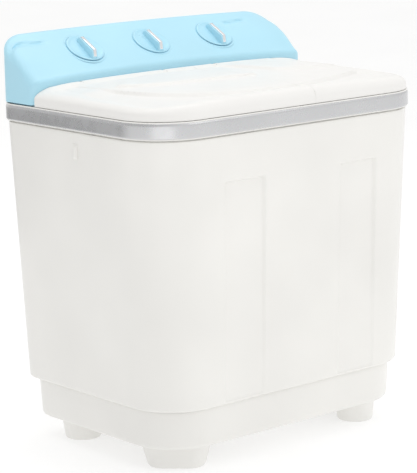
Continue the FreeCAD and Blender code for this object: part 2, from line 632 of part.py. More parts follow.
def make_brake():
    px, py = BRAKE_PIVOT
    x, y = SPIN_CENTRE
    z0, z1 = BRAKE_ARM_Z
    arm = box(px, px + BRAKE_ARM_LENGTH, py - BRAKE_ARM_HALF, py + BRAKE_ARM_HALF, z0, z1)
    arm = arm.fuse(post(9, px, py, z0, z1))
    arm = arm.cut(post(BRAKE_PIN_R + RUNNING_GAP, px, py, z0 - 1, z1 + 1))
    shoe_face = y + DRUM_R + SHOE_GAP
    arm = arm.fuse(box(x - SHOE_HALF, x + SHOE_HALF, py - 8, py - BRAKE_ARM_HALF, z0, z1))
    save("brake_lever", arm)
    shoe = box(x - SHOE_HALF, x + SHOE_HALF, shoe_face - 6, py - 8, z0 - 2, z1 + 2)
    shoe = shoe.cut(post(DRUM_R + SHOE_GAP, x, y, z0 - 5, z1 + 5))
    save("brake_shoe", shoe)
    pivot = post(BRAKE_PIN_R, px, py, 197, z1 + 4).fuse(post(8, px, py, 190, z0 - 1))
    foot = box(px - 8, px + 8, py - 8, py + 8, 184, 190)
    strut = box(px - 6, px + 26, py - 30, py + 6, 180, 184)
    strut = strut.cut(post(SPIN_MOTOR_R + 0.5, x, y, 170, 200))
    save("brake_pivot", pivot.fuse(foot).fuse(strut))
    top = V(CRANK_X, CRANK_Y + 14, 528)
    corner = V(CRANK_X, CRANK_Y + 14, 207)
    end = V(CRANK_X, py + 7, 207)
    save("brake_cable", swept_tube([top, corner, end], 30, CABLE_R))
    crank = bar_x(5, CRANK_X - 4, CRANK_X + 4, CRANK_Y, CRANK_AXLE_Z)
    crank = crank.fuse(box(CRANK_X - 4, CRANK_X + 4, CRANK_Y - 2, CRANK_Y + 2, CRANK_FOOT_Z, CRANK_AXLE_Z))
    crank = crank.fuse(box(CRANK_X - 4, CRANK_X + 4, CRANK_Y - 2, CRANK_Y + 18, CRANK_FOOT_Z, CRANK_FOOT_Z + 3))
    crank = crank.cut(bar_x(CRANK_AXLE_R + RUNNING_GAP, CRANK_X - 10, CRANK_X + 10, CRANK_Y, CRANK_AXLE_Z))
    save("lid_brake_crank", crank)


# ---- drain ---------------------------------------------------------------------------
def make_drain():
    x, y = DRAIN_AXIS
    outer = post(DRAIN_CHAMBER_R, x, y, 105, 232)
    outer = outer.fuse(box(x - 12, x + 12, 80, y, WASH_FLOOR_Z + 3, WASH_FLOOR_Z + 21))
    outer = outer.cut(wash_box(0, WASH_FLOOR_Z, TUB_RIM_Z))
    outer = outer.fuse(bar_y(15, x, y, 180, DRAIN_OUT_Z))
    hollow = post(DRAIN_CHAMBER_R - 3, x, y, 108, DRAIN_PLUG_Z - 4)
    hollow = hollow.fuse(post(9, x, y, 150, DRAIN_PLUG_Z + 2))
    hollow = hollow.fuse(post(DRAIN_CHAMBER_R - 3, x, y, DRAIN_PLUG_Z, 229))
    hollow = hollow.fuse(box(x - 9, x + 9, 70, y, WASH_FLOOR_Z + 6, WASH_FLOOR_Z + 18))
    hollow = hollow.fuse(bar_y(12, x, y, 190, DRAIN_OUT_Z))
    hollow = hollow.fuse(post(4, x, y, 220, 240))
    save("drain_valve_body", outer.cut(hollow))
    plug = revolve([(0, DRAIN_PLUG_Z + 0.4), (13, DRAIN_PLUG_Z + 0.4), (13, DRAIN_PLUG_Z + 5),
                    (7, DRAIN_PLUG_Z + 12), (0, DRAIN_PLUG_Z + 12)], x, y)
    save("drain_plug", plug)
    rod = post(2, x, y, DRAIN_PLUG_Z + 12, 588)
    rod = rod.fuse(box(x - 2, x + 2, y - 2, y + 46, 584, 588))
    save("drain_pull_rod", rod)
    wall_y = size_at(BODY_LOW, BODY_HIGH, SKIRT_TOP, BODY_TOP, DRAIN_OUT_Z)[1]
    spigot = bar_y(DRAIN_SPIGOT_R, x, 181, HALF_DEPTH - 0.5, DRAIN_OUT_Z)
    spigot = spigot.fuse(bar_y(DRAIN_SPIGOT_R + 7, x, wall_y + 0.8, wall_y + 3, DRAIN_OUT_Z))
    spigot = spigot.cut(bar_y(DRAIN_SPIGOT_R - 2.5, x, 170, 220, DRAIN_OUT_Z))
    save("drain_spigot", spigot)
    sx, sy = SPIN_DRAIN
    aim = V(x - sx, y - sy, 0).normalize()
    start = V(sx, sy, SPIN_TUB_FLOOR_Z)
    corner = V(sx, sy, 150)
    end = V(x, y, 150) - aim * (DRAIN_CHAMBER_R + 0.5)
    save("spin_drain_tube", swept_tube([start, corner, end], 24, 10, 8))


# ---- console -------------------------------------------------------------------------
SLOPE_RUN = V(0, SLOPE_END_Y - SLOPE_START_Y, CONSOLE_TOP - 4 - CREASE_Z)
SLOPE = V(SLOPE_RUN).normalize()
SLOPE_NORMAL = V(0, -SLOPE.z, SLOPE.y)


def slope_point(x, lift=0.0):
    """The centre of the control at x, raised off the sloped face by lift."""
    return V(x, SLOPE_START_Y, CREASE_Z) + SLOPE * KNOB_ALONG_SLOPE + SLOPE_NORMAL * lift


def console_volume(inset):
    """The console's outside, or its inside for a positive inset."""
    front = CONSOLE_FRONT_Y + inset
    rear = CONSOLE_REAR_Y - inset
    bottom = CONSOLE_BOTTOM - inset
    start = V(0, SLOPE_START_Y, CREASE_Z) - SLOPE_NORMAL * inset
    rise = SLOPE.z / SLOPE.y
    crease_z = start.z + (front - start.y) * rise
    top = CONSOLE_TOP - inset
    knee_y = start.y + (top - start.z) / rise
    points = [V(0, front, bottom), V(0, front, crease_z), V(0, knee_y, top), V(0, rear, top), V(0, rear, bottom)]
    side = Part.Face(Part.makePolygon(points + points[:1]))
    half = CONSOLE_HALF - inset
    side.translate(V(-half, 0, 0))
    long_bar = side.extrude(V(2 * half, 0, 0))
    r = CONSOLE_END_RADIUS - inset
    s = math.sqrt(0.5)
    y0 = CONSOLE_FRONT_Y - 10
    edges = [
        Part.makeLine(V(-half, y0, bottom - 1), V(-half, y0, top - r)),
        Part.Arc(V(-half, y0, top - r), V(-half + r * (1 - s), y0, top - r * (1 - s)), V(-half + r, y0, top)).toShape(),
        Part.makeLine(V(-half + r, y0, top), V(half - r, y0, top)),
        Part.Arc(V(half - r, y0, top), V(half - r * (1 - s), y0, top - r * (1 - s)), V(half, y0, top - r)).toShape(),
        Part.makeLine(V(half, y0, top - r), V(half, y0, bottom - 1)),
        Part.makeLine(V(half, y0, bottom - 1), V(-half, y0, bottom - 1)),
    ]
    outline = Part.Face(Part.Wire(edges)).extrude(V(0, 140, 0))
    rear_r = REAR_RADIUS - 2 - inset
    plan = Part.Face(corner_wire(-half, half, y0 - 60, rear, 5, rear_r, bottom - 2)).extrude(V(0, 0, 200))
    return long_bar.common(outline).common(plan)


def make_console():
    outer = console_volume(0.0)
    inner = console_volume(CONSOLE_WALL)
    housing = outer.cut(inner)
    window = box(-252, 252, 195, 215, 575, 650)
    housing = housing.cut(window)
    for index in (-1, 0, 1):
        centre = slope_point(KNOB_MIDDLE_X + index * KNOB_PITCH, -12)
        housing = housing.cut(Part.makeCylinder(7, 20, centre, SLOPE_NORMAL))
    skirt_half = CONSOLE_HALF - 8
    skirt_rear = CONSOLE_REAR_Y - 8
    for inset, z0 in ((0.0, DECK_TOP), (3.0, DECK_TOP - 1)):
        wire = corner_wire(-skirt_half + inset, skirt_half - inset, CONSOLE_FRONT_Y + 3 + inset, skirt_rear - inset,
                           6 - inset, 34 - inset, z0)
        block = Part.Face(wire).extrude(V(0, 0, CONSOLE_BOTTOM + 8 - z0 + inset))
        skirt = block if inset == 0 else skirt.cut(block)
    shelf = console_volume(1.0).common(box(-300, 300, 90, 220, CONSOLE_BOTTOM, CONSOLE_BOTTOM + 2.5))
    shelf = shelf.cut(box(-270, 270, CONSOLE_FRONT_Y + 7, skirt_rear - 15, CONSOLE_BOTTOM - 1, CONSOLE_BOTTOM + 4))
    housing = housing.fuse(skirt).fuse(shelf)
    save("console_housing", housing)
    cover = box(-256, 256, COVER_FRONT_Y, COVER_FRONT_Y + 2.2, 571, 654)
    cover = cover.common(console_volume(CONSOLE_WALL))
    back = COVER_FRONT_Y - POCKET_DEPTH
    reach = POCKET_HALF + POCKET_WALL
    pocket = box(INLET_X - reach, INLET_X + reach, back, COVER_FRONT_Y, INLET_Z - reach, INLET_Z + reach)
    hollow = box(INLET_X - POCKET_HALF, INLET_X + POCKET_HALF, back + POCKET_WALL, COVER_FRONT_Y + 5,
                 INLET_Z - POCKET_HALF, INLET_Z + POCKET_HALF)
    cover = cover.fuse(pocket).cut(hollow)
    cover = cover.cut(bar_y(INLET_R, INLET_X, 150, 215, INLET_Z))
    save("console_back_cover", cover)
    spigot = bar_y(INLET_R, INLET_X, back - 4, HALF_DEPTH - 2, INLET_Z)
    spigot = spigot.fuse(bar_y(12, INLET_X, back + 2, back + 5, INLET_Z))
    spigot = spigot.cut(bar_y(5.5, INLET_X, back - 5, 220, INLET_Z))
    save("inlet_spigot", spigot)
    start = V(INLET_X, back - 4, INLET_Z)
    corner = V(INLET_X, INLET_DROP[1], INLET_Z)
    end = V(INLET_X, INLET_DROP[1], DECK_TOP - 6)
    save("inlet_pipe", swept_tube([start, corner, end], 22, 9, 7))


def on_slope(shape, x):
    """Carry a shape drawn about the origin, +Z outward and +Y up the slope, to a control's place."""
    placed = shape.copy()
    tilt = math.degrees(math.atan2(SLOPE.z, SLOPE.y))
    placed.rotate(ORIGIN, X_AXIS, tilt)
    placed.translate(slope_point(x))
    return placed


def side_slab(points, half):
    """A slab of the given outline, drawn up and off the slope, centred on x = 0."""
    outline = Part.makePolygon([V(-half, y, z) for y, z in points + points[:1]])
    return Part.Face(outline).extrude(V(2 * half, 0, 0))


def strip_side():
    """The bright strip's outline: along the top of the blade and down its lower end."""
    toe, nose, tail = (V(0, y, z) for y, z in BLADE_SIDE[:3])
    end = (toe - nose).normalize()
    top = (tail - nose).normalize()
    start = nose + end * (STRIP_SPAN[0] * (toe - nose).Length)
    finish = nose + top * (STRIP_SPAN[1] * (tail - nose).Length)
    off_end = V(0, end.z, -end.y) * STRIP_THICKNESS
    off_top = V(0, -top.z, top.y) * STRIP_THICKNESS
    crest = nose + (off_end + off_top).normalize() * STRIP_THICKNESS
    points = [start, nose, finish, finish + off_top, crest, start + off_end]
    return tuple((p.y, p.z) for p in points)


def make_controls():
    names = (("wash_timer", "wash_knob"), ("drain_selector", "drain_knob"), ("spin_timer", "spin_knob"))
    for index, (device, knob) in enumerate(names):
        x = KNOB_MIDDLE_X + (index - 1) * KNOB_PITCH
        dial = post(KNOB_R, 0, 0, KNOB_GAP, KNOB_GAP + DIAL_THICKNESS)
        rim = dial.makeFillet(2.0, [dial.Edges[0]])
        body = rim.fuse(side_slab(BLADE_SIDE, BLADE_HALF))
        body = body.fuse(post(SPINDLE_R, 0, 0, -20, KNOB_GAP + 1))
        save(knob, on_slope(body, x))
        save(knob + "_strip", on_slope(side_slab(strip_side(), STRIP_HALF), x))
        case = box(-24, 24, -22, 22, -CONSOLE_WALL - 32, -CONSOLE_WALL - 6)
        case = case.fuse(post(6.5, 0, 0, -CONSOLE_WALL - 6, -CONSOLE_WALL))
        case = case.fuse(box(-32, 32, -8, 8, -CONSOLE_WALL - 9, -CONSOLE_WALL - 6))
        case = case.cut(post(SPINDLE_R + RUNNING_GAP, 0, 0, -21, 5))
        save(device, on_slope(case, x))


# ---- lids ----------------------------------------------------------------------------
def lid_volume(inset):
    """Outside of both lids as one crowned block, or its inside for a positive inset."""
    half = LID_HALF - inset
    front = LID_FRONT_Y + inset
    rear = LID_REAR_Y - inset
    bottom = LID_BOTTOM - (1 if inset else 0)
    top = CROWN_Z - inset
    shoulder = CROWN_Z - LID_SHOULDER - inset
    corner_r = LID_CORNER - inset
    s = math.sqrt(0.5)
    y0 = front - 10
    edge_z = shoulder - corner_r
    arch_end = half - corner_r
    edges = [
        Part.makeLine(V(-half, y0, bottom), V(-half, y0, edge_z)),
        Part.Arc(V(-half, y0, edge_z), V(-half + corner_r * (1 - s), y0, shoulder - corner_r * (1 - s)),
                 V(-arch_end, y0, shoulder)).toShape(),
        Part.Arc(V(-arch_end, y0, shoulder), V(0, y0, top), V(arch_end, y0, shoulder)).toShape(),
        Part.Arc(V(arch_end, y0, shoulder), V(half - corner_r * (1 - s), y0, shoulder - corner_r * (1 - s)),
                 V(half, y0, edge_z)).toShape(),
        Part.makeLine(V(half, y0, edge_z), V(half, y0, bottom)),
        Part.makeLine(V(half, y0, bottom), V(-half, y0, bottom)),
    ]
    arch = Part.Face(Part.Wire(edges)).extrude(V(0, 340, 0))
    front_top = top - LID_FALL
    brow = LID_BROW - inset
    knee = front_top - brow
    roll = CROWN_Z - HINGE_Z - inset
    reach = half + 10
    side_edges = [
        Part.makeLine(V(-reach, front, bottom), V(-reach, front, knee)),
        Part.Arc(V(-reach, front, knee), V(-reach, front + brow * (1 - s), front_top - brow * (1 - s)),
                 V(-reach, front + brow, front_top)).toShape(),
        Part.makeLine(V(-reach, front + brow, front_top), V(-reach, HINGE_Y, top)),
        Part.Arc(V(-reach, HINGE_Y, top), V(-reach, HINGE_Y + roll * s, HINGE_Z + roll * s),
                 V(-reach, rear, HINGE_Z)).toShape(),
        Part.makeLine(V(-reach, rear, HINGE_Z), V(-reach, rear, bottom)),
        Part.makeLine(V(-reach, rear, bottom), V(-reach, front, bottom)),
    ]
    profile = Part.Face(Part.Wire(side_edges)).extrude(V(2 * reach, 0, 0))
    side = half - (0.4 if inset else 0.0)
    plan = Part.Face(corner_wire(-side, side, front, rear, FRONT_RADIUS - 2 - inset, 3, bottom - 1))
    return plan.extrude(V(0, 0, 60)).common(arch).common(profile).removeSplitter()


def make_lids():
    outer = lid_volume(0.0)
    inner = lid_volume(LID_SKIN)
    for name, x0, x1, hinges in (
        ("wash_lid", -300.0, LID_SEAM_X - LID_GAP, HINGE_X[:2]),
        ("spin_lid", LID_SEAM_X + LID_GAP, 300.0, HINGE_X[2:]),
    ):
        hollow = inner.common(box(x0 + LID_SKIN, x1 - LID_SKIN, -300, 300, 500, 700))
        for hx in hinges:
            hollow = hollow.cut(box(hx - 14, hx + 14, HINGE_Y - 8, LID_REAR_Y + 5, HINGE_Z - 7, CROWN_Z + 5))
        lid = outer.common(box(x0, x1, -300, 300, 500, 700)).cut(hollow)
        for hx in hinges:
            slot_half = KNUCKLE_WIDTH / 2 + 0.5
            lid = lid.cut(box(hx - slot_half, hx + slot_half, HINGE_Y - 9, LID_REAR_Y + 1, HINGE_Z - 9, CROWN_Z + 2))
            lid = lid.cut(bar_x(HINGE_PIN_R + RUNNING_GAP, hx - 12, hx + 12, HINGE_Y, HINGE_Z))
        save(name, lid.removeSplitter())
    knuckles = []
    pins = []
    for hx in HINGE_X:
        ear = bar_x(KNUCKLE_R, hx - KNUCKLE_WIDTH / 2, hx + KNUCKLE_WIDTH / 2, HINGE_Y, HINGE_Z)
        ear = ear.fuse(box(hx - KNUCKLE_WIDTH / 2, hx + KNUCKLE_WIDTH / 2, HINGE_Y, CONSOLE_FRONT_Y,
                           HINGE_Z - KNUCKLE_R, HINGE_Z + KNUCKLE_R))
        knuckles.append(ear.cut(bar_x(HINGE_PIN_R, hx - 20, hx + 20, HINGE_Y, HINGE_Z)))
        pins.append(bar_x(HINGE_PIN_R, hx - 11.5, hx + 11.5, HINGE_Y, HINGE_Z))
    save("hinge_knuckles", *knuckles)
    save("hinge_pins", *pins)


# ---- electrical parts and fasteners --------------------------------------------------
def make_electrics():
    floor = SKIRT_BOTTOM + WALL
    cans = []
    for x in (10.0, 52.0):
        can = post(17, x, -120, floor, floor + 62).fuse(post(4, x - 6, -120, floor + 62, floor + 68))
        cans.append(can.fuse(post(4, x + 6, -120, floor + 62, floor + 68)))
    save("capacitors", *cans)
    screws = []
    x0, x1, z0, z1 = PANEL
    for x in (x0 + 5, x1 - 5):
        for z in (z0 + 6, (z0 + z1) / 2, z1 - 6):
            wall_y = size_at(BODY_LOW, BODY_HIGH, SKIRT_TOP, BODY_TOP, z)[1] + 1.6
            screws.append(bar_y(4, x, wall_y + 0.1, wall_y + 2.0, z))
    for x in (-240, -80, 80, 240):
        for z in (582, 643):
            screws.append(bar_y(3.2, x, COVER_FRONT_Y + 2.2, COVER_FRONT_Y + 4.0, z))
    save("rear_screws", *screws)


def main():
    os.makedirs("parts", exist_ok=True)
    make_feet()
    make_base()
    make_cabinet()
    make_deck()
    make_wash_tub()
    make_pulsator()
    make_wash_drive()
    make_spin_tub()
    make_spin_basket()
    make_spin_motor()
    make_brake()
    make_drain()
    make_console()
    make_controls()
    make_lids()
    make_electrics()
    for node, count, bounds, volume in saved:
        print("%-20s %2d  x %7.1f %7.1f  y %7.1f %7.1f  z %7.1f %7.1f  %9.0f" % (
            node, count, bounds.XMin, bounds.XMax, bounds.YMin, bounds.YMax, bounds.ZMin, bounds.ZMax, volume))
    print(len(saved), "nodes")


main()
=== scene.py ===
import bpy
import bmesh
import json
import math
import numpy as np
from mathutils import Matrix, Vector


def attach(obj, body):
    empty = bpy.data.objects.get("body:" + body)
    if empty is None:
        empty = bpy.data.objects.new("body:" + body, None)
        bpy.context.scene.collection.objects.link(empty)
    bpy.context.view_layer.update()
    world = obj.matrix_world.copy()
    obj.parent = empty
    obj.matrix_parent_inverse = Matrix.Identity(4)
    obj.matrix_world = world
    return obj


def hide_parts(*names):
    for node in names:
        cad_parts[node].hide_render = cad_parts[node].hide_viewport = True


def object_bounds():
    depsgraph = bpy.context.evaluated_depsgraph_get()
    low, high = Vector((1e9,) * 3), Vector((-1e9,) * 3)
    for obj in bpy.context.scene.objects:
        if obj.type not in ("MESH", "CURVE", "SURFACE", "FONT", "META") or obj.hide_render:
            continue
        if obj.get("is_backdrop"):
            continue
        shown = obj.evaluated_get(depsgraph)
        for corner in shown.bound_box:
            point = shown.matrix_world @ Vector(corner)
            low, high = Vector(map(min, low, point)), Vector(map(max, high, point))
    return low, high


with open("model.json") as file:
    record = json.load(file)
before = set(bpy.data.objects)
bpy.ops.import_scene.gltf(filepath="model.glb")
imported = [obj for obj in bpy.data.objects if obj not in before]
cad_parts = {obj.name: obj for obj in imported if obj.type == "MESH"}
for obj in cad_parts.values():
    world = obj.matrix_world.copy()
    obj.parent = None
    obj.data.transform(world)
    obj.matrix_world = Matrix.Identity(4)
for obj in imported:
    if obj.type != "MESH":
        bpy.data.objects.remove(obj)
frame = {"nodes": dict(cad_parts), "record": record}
low_corner, high_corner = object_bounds()

# Everything below is drawn in millimetres and turned into metres by make_piece().
MM = 0.001

# ---- taken from the frame ----
HALF_WIDTH, HALF_DEPTH, TOTAL_HEIGHT = (round(c / MM, 1) for c in high_corner)
joint_place = {}
for joint in frame["record"]["behaviour"]["joints"]:
    joint_place[joint["name"]] = [round(c / MM, 3) for c in joint.get("pos_m", ())]

# ---- casing levels and plan sizes (half width, half depth, front radius, rear radius) ----
SKIRT_LOW = (263.4, 181.0, 82.0, 44.0)
SKIRT_HIGH = (266.7, 184.0, 85.0, 46.0)
BODY_LOW = (276.1, 193.4, 87.0, 40.0)
BODY_HIGH = (291.7, 206.4, 91.0, 42.0)
BAND = (HALF_WIDTH, HALF_DEPTH, 91.0, 42.0)
SKIRT_Z = (37.0, 103.0)
BODY_Z = (SKIRT_Z[1], 535.0)
BAND_Z = (539.2, 564.2)
WALL = 3.0
FOOT_CENTRE = (199.5, 121.0)
FOOT_LOW = (92.0, 60.0)
FOOT_HIGH = (112.0, 66.0)
FOOT_CORNER = 27.0
HOOK_Z = 500.0
VENT_X = (-128.0, 157.0)        # middles of the two rows of slots in the floor
VENT_PITCH = 22
VENT_HALF = (30, 4)

# ---- lids ----
HINGE_Y, HINGE_Z = joint_place["wash_lid_hinge"][1:]
HINGE_X = (-205.0, -30.0, 80.0, 215.0)
LID_HALF = HALF_WIDTH - 2.5
LID_Y = (2.5 - HALF_DEPTH, HINGE_Y + 8.0)
LID_CORNER = 89.0
LID_BOTTOM = 566.1
CROWN_Z = 603.5
SEAM_X = 34.0
SEAM_GAP = 0.14
EDGE_ROLL = 0.35                # softening of the two edges along the seam
LID_SKIN = 2.6
KNUCKLE_WIDTH = 7.0
KNUCKLE_ARM = 4.8
PIN_R = 2.5
SLOT_GAP = 0.35                 # clearance round a hinge ear
SLOT_HALF = KNUCKLE_WIDTH / 2 + SLOT_GAP

# ---- console ----
CONSOLE_HALF = HALF_WIDTH - 1.5
CONSOLE_Y = (HINGE_Y + 9.0, HALF_DEPTH - 1.0)
CONSOLE_BOTTOM = 568.0
CREASE_Z = 615.0
CONSOLE_TOP = TOTAL_HEIGHT
SLOPE_START = (107.0, CREASE_Z)
SLOPE_ANGLE = math.atan2(56.5, 87.0)
CONSOLE_WALL = 2.5
PLINTH = (285.5, 46.0, 6.0, 34.0)
PLINTH_Y = 154.0
PLINTH_Z = (561.0, 569.5)
SCOOP_ALONG = 85.0              # how far up the slope the scoops' lower line lies
END_FRONT = (118.0, 604.0)      # top corners of the flat ends, as (y, z)
END_TOP = (166.0, 640.0)
END_REAR = (174.0, 641.0)
END_WIDE_FRONT = 15.0
END_WIDE_REAR = 50.0
KNOB_X = tuple(joint_place[name][0] for name in ("wash_knob_turn", "drain_knob_turn", "spin_knob_turn"))
KNOB_ALONG = 54.0
KNOB_R = 33.0
KNOB_GAP = 0.8
SPINDLE_HOLE_R = 7.0

# ---- studio ----
FALL_OFF_HEADING = (-0.45, 0.893, 0.0)
BRIGHT_HEADING = (-0.72, -0.694, 0.0)
FLOOR_GLOW = 0.50
FLAG_GLOW = 0.08
LOBE_GLOW = 0.55
CAMERA_PLACE = (-2295.144, -2671.157, 1033.188)
CAMERA_HEADING = 40.41807
CAMERA_FALL = 11.348
CAMERA_LEAN = -1.17314
LENS_RATIO = 2143.08 / 473.0    # focal length over the sensor's longer side
SENSOR = 36.0


# ======================================================================================
# materials
# ======================================================================================
class Tree:
    """A material's node tree, with short calls for the nodes used here."""

    def __init__(self, name):
        self.material = bpy.data.materials.new(name)
        self.material.use_nodes = True
        self.nodes = self.material.node_tree.nodes
        self.links = self.material.node_tree.links
        self.shader = self.nodes["Principled BSDF"]
        self.place = self.add("ShaderNodeTexCoord").outputs["Object"]

    def add(self, kind, **inputs):
        node = self.nodes.new(kind)
        for key, value in inputs.items():
            self.feed(node, key.replace("_", " "), value)
        return node

    def feed(self, node, socket, value):
        if isinstance(value, bpy.types.NodeSocket):
            self.links.new(value, node.inputs[socket])
        else:
            node.inputs[socket].default_value = value

    def noise(self, scale, detail=3.0, stretch=None, rough=0.5):
        place = self.place
        if stretch:
            mapping = self.add("ShaderNodeMapping", Vector=place, Scale=stretch)
            place = mapping.outputs[0]
        return self.add("ShaderNodeTexNoise", Vector=place, Scale=scale, Detail=detail, Roughness=rough).outputs[0]

    def spread(self, value, low, high, to_low=0.0, to_high=1.0):
        node = self.add("ShaderNodeMapRange", Value=value)
        node.inputs["From Min"].default_value = low
        node.inputs["From Max"].default_value = high
        node.inputs["To Min"].default_value = to_low
        node.inputs["To Max"].default_value = to_high
        return node.outputs[0]

    def math(self, operation, a, b):
        node = self.nodes.new("ShaderNodeMath")
        node.operation = operation
        self.feed(node, 0, a)
        self.feed(node, 1, b)
        return node.outputs[0]

    def mix(self, share, a, b):
        node = self.nodes.new("ShaderNodeMix")
        node.data_type = "RGBA"
        self.feed(node, 0, share)
        self.feed(node, 6, a)
        self.feed(node, 7, b)
        return node.outputs[2]

    def bump(self, height, strength, distance, under=None):
        node = self.add("ShaderNodeBump", Height=height, Strength=strength, Distance=distance)
        if under is not None:
            self.links.new(under, node.inputs["Normal"])
        return node.outputs[0]

    def wear(self, low=0.52, high=0.60):
        """White along sharp outward edges, broken up by noise."""
        edges = self.spread(self.add("ShaderNodeNewGeometry").outputs["Pointiness"], low, high)
        return self.math("MULTIPLY", edges, self.spread(self.noise(60.0), 0.42, 0.62))


def colour(rgb, gain=1.0):
    return tuple(min(1.0, c * gain) for c in rgb) + (1.0,)


def moulded(name, rgb, roughness, coat=0.0, grain=0.05, variation=0.03, specular=0.5, worn=None, dust=0.35):
    """Injection moulded plastic: slow colour drift, faint flow marks, fine orange peel and rubbed edges."""
    tree = Tree(name)
    shader = tree.shader
    drift = tree.spread(tree.noise(5.0, 2.0), 0.3, 0.7)
    body = tree.mix(drift, colour(rgb, 1 - variation), colour(rgb, 1 + variation))
    film = tree.spread(tree.noise(14.0, 6.0, rough=0.7), 0.52, 0.8)
    dusty = colour((rgb[0] * 0.92, rgb[1] * 0.88, rgb[2] * 0.8))
    body = tree.mix(tree.math("MULTIPLY", film, 0.10 * dust), body, dusty)
    if worn is not None:
        body = tree.mix(tree.math("MULTIPLY", tree.wear(), 0.35), body, colour(worn))
    tree.feed(shader, "Base Color", body)
    gloss = tree.spread(tree.noise(30.0, 5.0), 0.3, 0.7, roughness - 0.05, roughness + 0.06)
    tree.feed(shader, "Roughness", tree.math("ADD", gloss, tree.math("MULTIPLY", film, 0.08)))
    peel = tree.bump(tree.noise(260.0, 3.0), grain, 0.0006)
    flow = tree.bump(tree.noise(9.0, 2.0, stretch=(1.0, 1.0, 0.35)), 0.4 * grain, 0.002, peel)
    tree.feed(shader, "Normal", flow)
    shader.inputs["Coat Weight"].default_value = coat
    shader.inputs["Coat Roughness"].default_value = 0.12
    shader.inputs["Specular IOR Level"].default_value = specular
    return tree.material


def metal(name, rgb, roughness, stretch, scratch=0.25, metallic=1.0, grain=0.08, tint=0.06):
    """Turned, rolled or cast metal, with its grain drawn out along one direction."""
    tree = Tree(name)
    shader = tree.shader
    lines = tree.noise(420.0, 4.0, stretch=stretch, rough=0.6)
    cloud = tree.spread(tree.noise(22.0, 4.0), 0.3, 0.7)
    body = tree.mix(cloud, colour(rgb, 1 - tint), colour(rgb, 1 + tint))
    body = tree.mix(tree.math("MULTIPLY", tree.spread(lines, 0.55, 0.8), 0.3), body, colour(rgb, 0.72))
    tree.feed(shader, "Base Color", body)
    rough = tree.spread(lines, 0.35, 0.7, roughness, roughness + scratch * 0.5)
    tree.feed(shader, "Roughness", tree.math("ADD", rough, tree.math("MULTIPLY", cloud, 0.05)))
    tree.feed(shader, "Normal", tree.bump(lines, grain, 0.0004))
    shader.inputs["Metallic"].default_value = metallic
    return tree.material


def lacquer(name, rgb, roughness, flake=0.10):
    """Silver lacquer over plastic: fine metallic flake under a clear coat."""
    tree = Tree(name)
    shader = tree.shader
    flakes = tree.add("ShaderNodeTexVoronoi", Vector=tree.place, Scale=2600.0).outputs["Color"]
    cloud = tree.spread(tree.noise(7.0, 3.0), 0.3, 0.7)
    body = tree.mix(cloud, colour(rgb, 0.96), colour(rgb, 1.04))
    body = tree.mix(flake, body, flakes)
    body = tree.mix(tree.math("MULTIPLY", tree.wear(0.54, 0.64), 0.4), body, colour((0.8, 0.8, 0.8)))
    tree.feed(shader, "Base Color", body)
    tree.feed(shader, "Roughness", tree.spread(tree.noise(45.0, 5.0), 0.3, 0.7, roughness - 0.04, roughness + 0.07))
    tree.feed(shader, "Normal", tree.bump(tree.noise(700.0, 2.0), 0.05, 0.0004))
    shader.inputs["Metallic"].default_value = 0.85
    shader.inputs["Coat Weight"].default_value = 0.35
    shader.inputs["Coat Roughness"].default_value = 0.1
    return tree.material


def chrome(name, rgb):
    tree = Tree(name)
    shader = tree.shader
    smudge = tree.spread(tree.noise(80.0, 6.0, rough=0.7), 0.45, 0.75)
    tree.feed(shader, "Base Color", tree.mix(smudge, colour(rgb), colour(rgb, 0.93)))
    tree.feed(shader, "Roughness", tree.spread(smudge, 0.0, 1.0, 0.10, 0.24))
    tree.feed(shader, "Normal", tree.bump(tree.noise(300.0, 3.0), 0.03, 0.0003))
    shader.inputs["Metallic"].default_value = 1.0
    return tree.material


def rubber(name, rgb, roughness=0.62):
    tree = Tree(name)
    shader = tree.shader
    bloom = tree.spread(tree.noise(35.0, 6.0, rough=0.65), 0.45, 0.8)
    share = tree.math("MULTIPLY", bloom, 0.6)
    tree.feed(shader, "Base Color", tree.mix(share, colour(rgb), colour((0.16, 0.16, 0.155))))
    tree.feed(shader, "Roughness", tree.spread(bloom, 0.0, 1.0, roughness, roughness + 0.2))
    tree.feed(shader, "Normal", tree.bump(tree.noise(520.0, 3.0), 0.22, 0.0005))
    shader.inputs["Specular IOR Level"].default_value = 0.3
    return tree.material


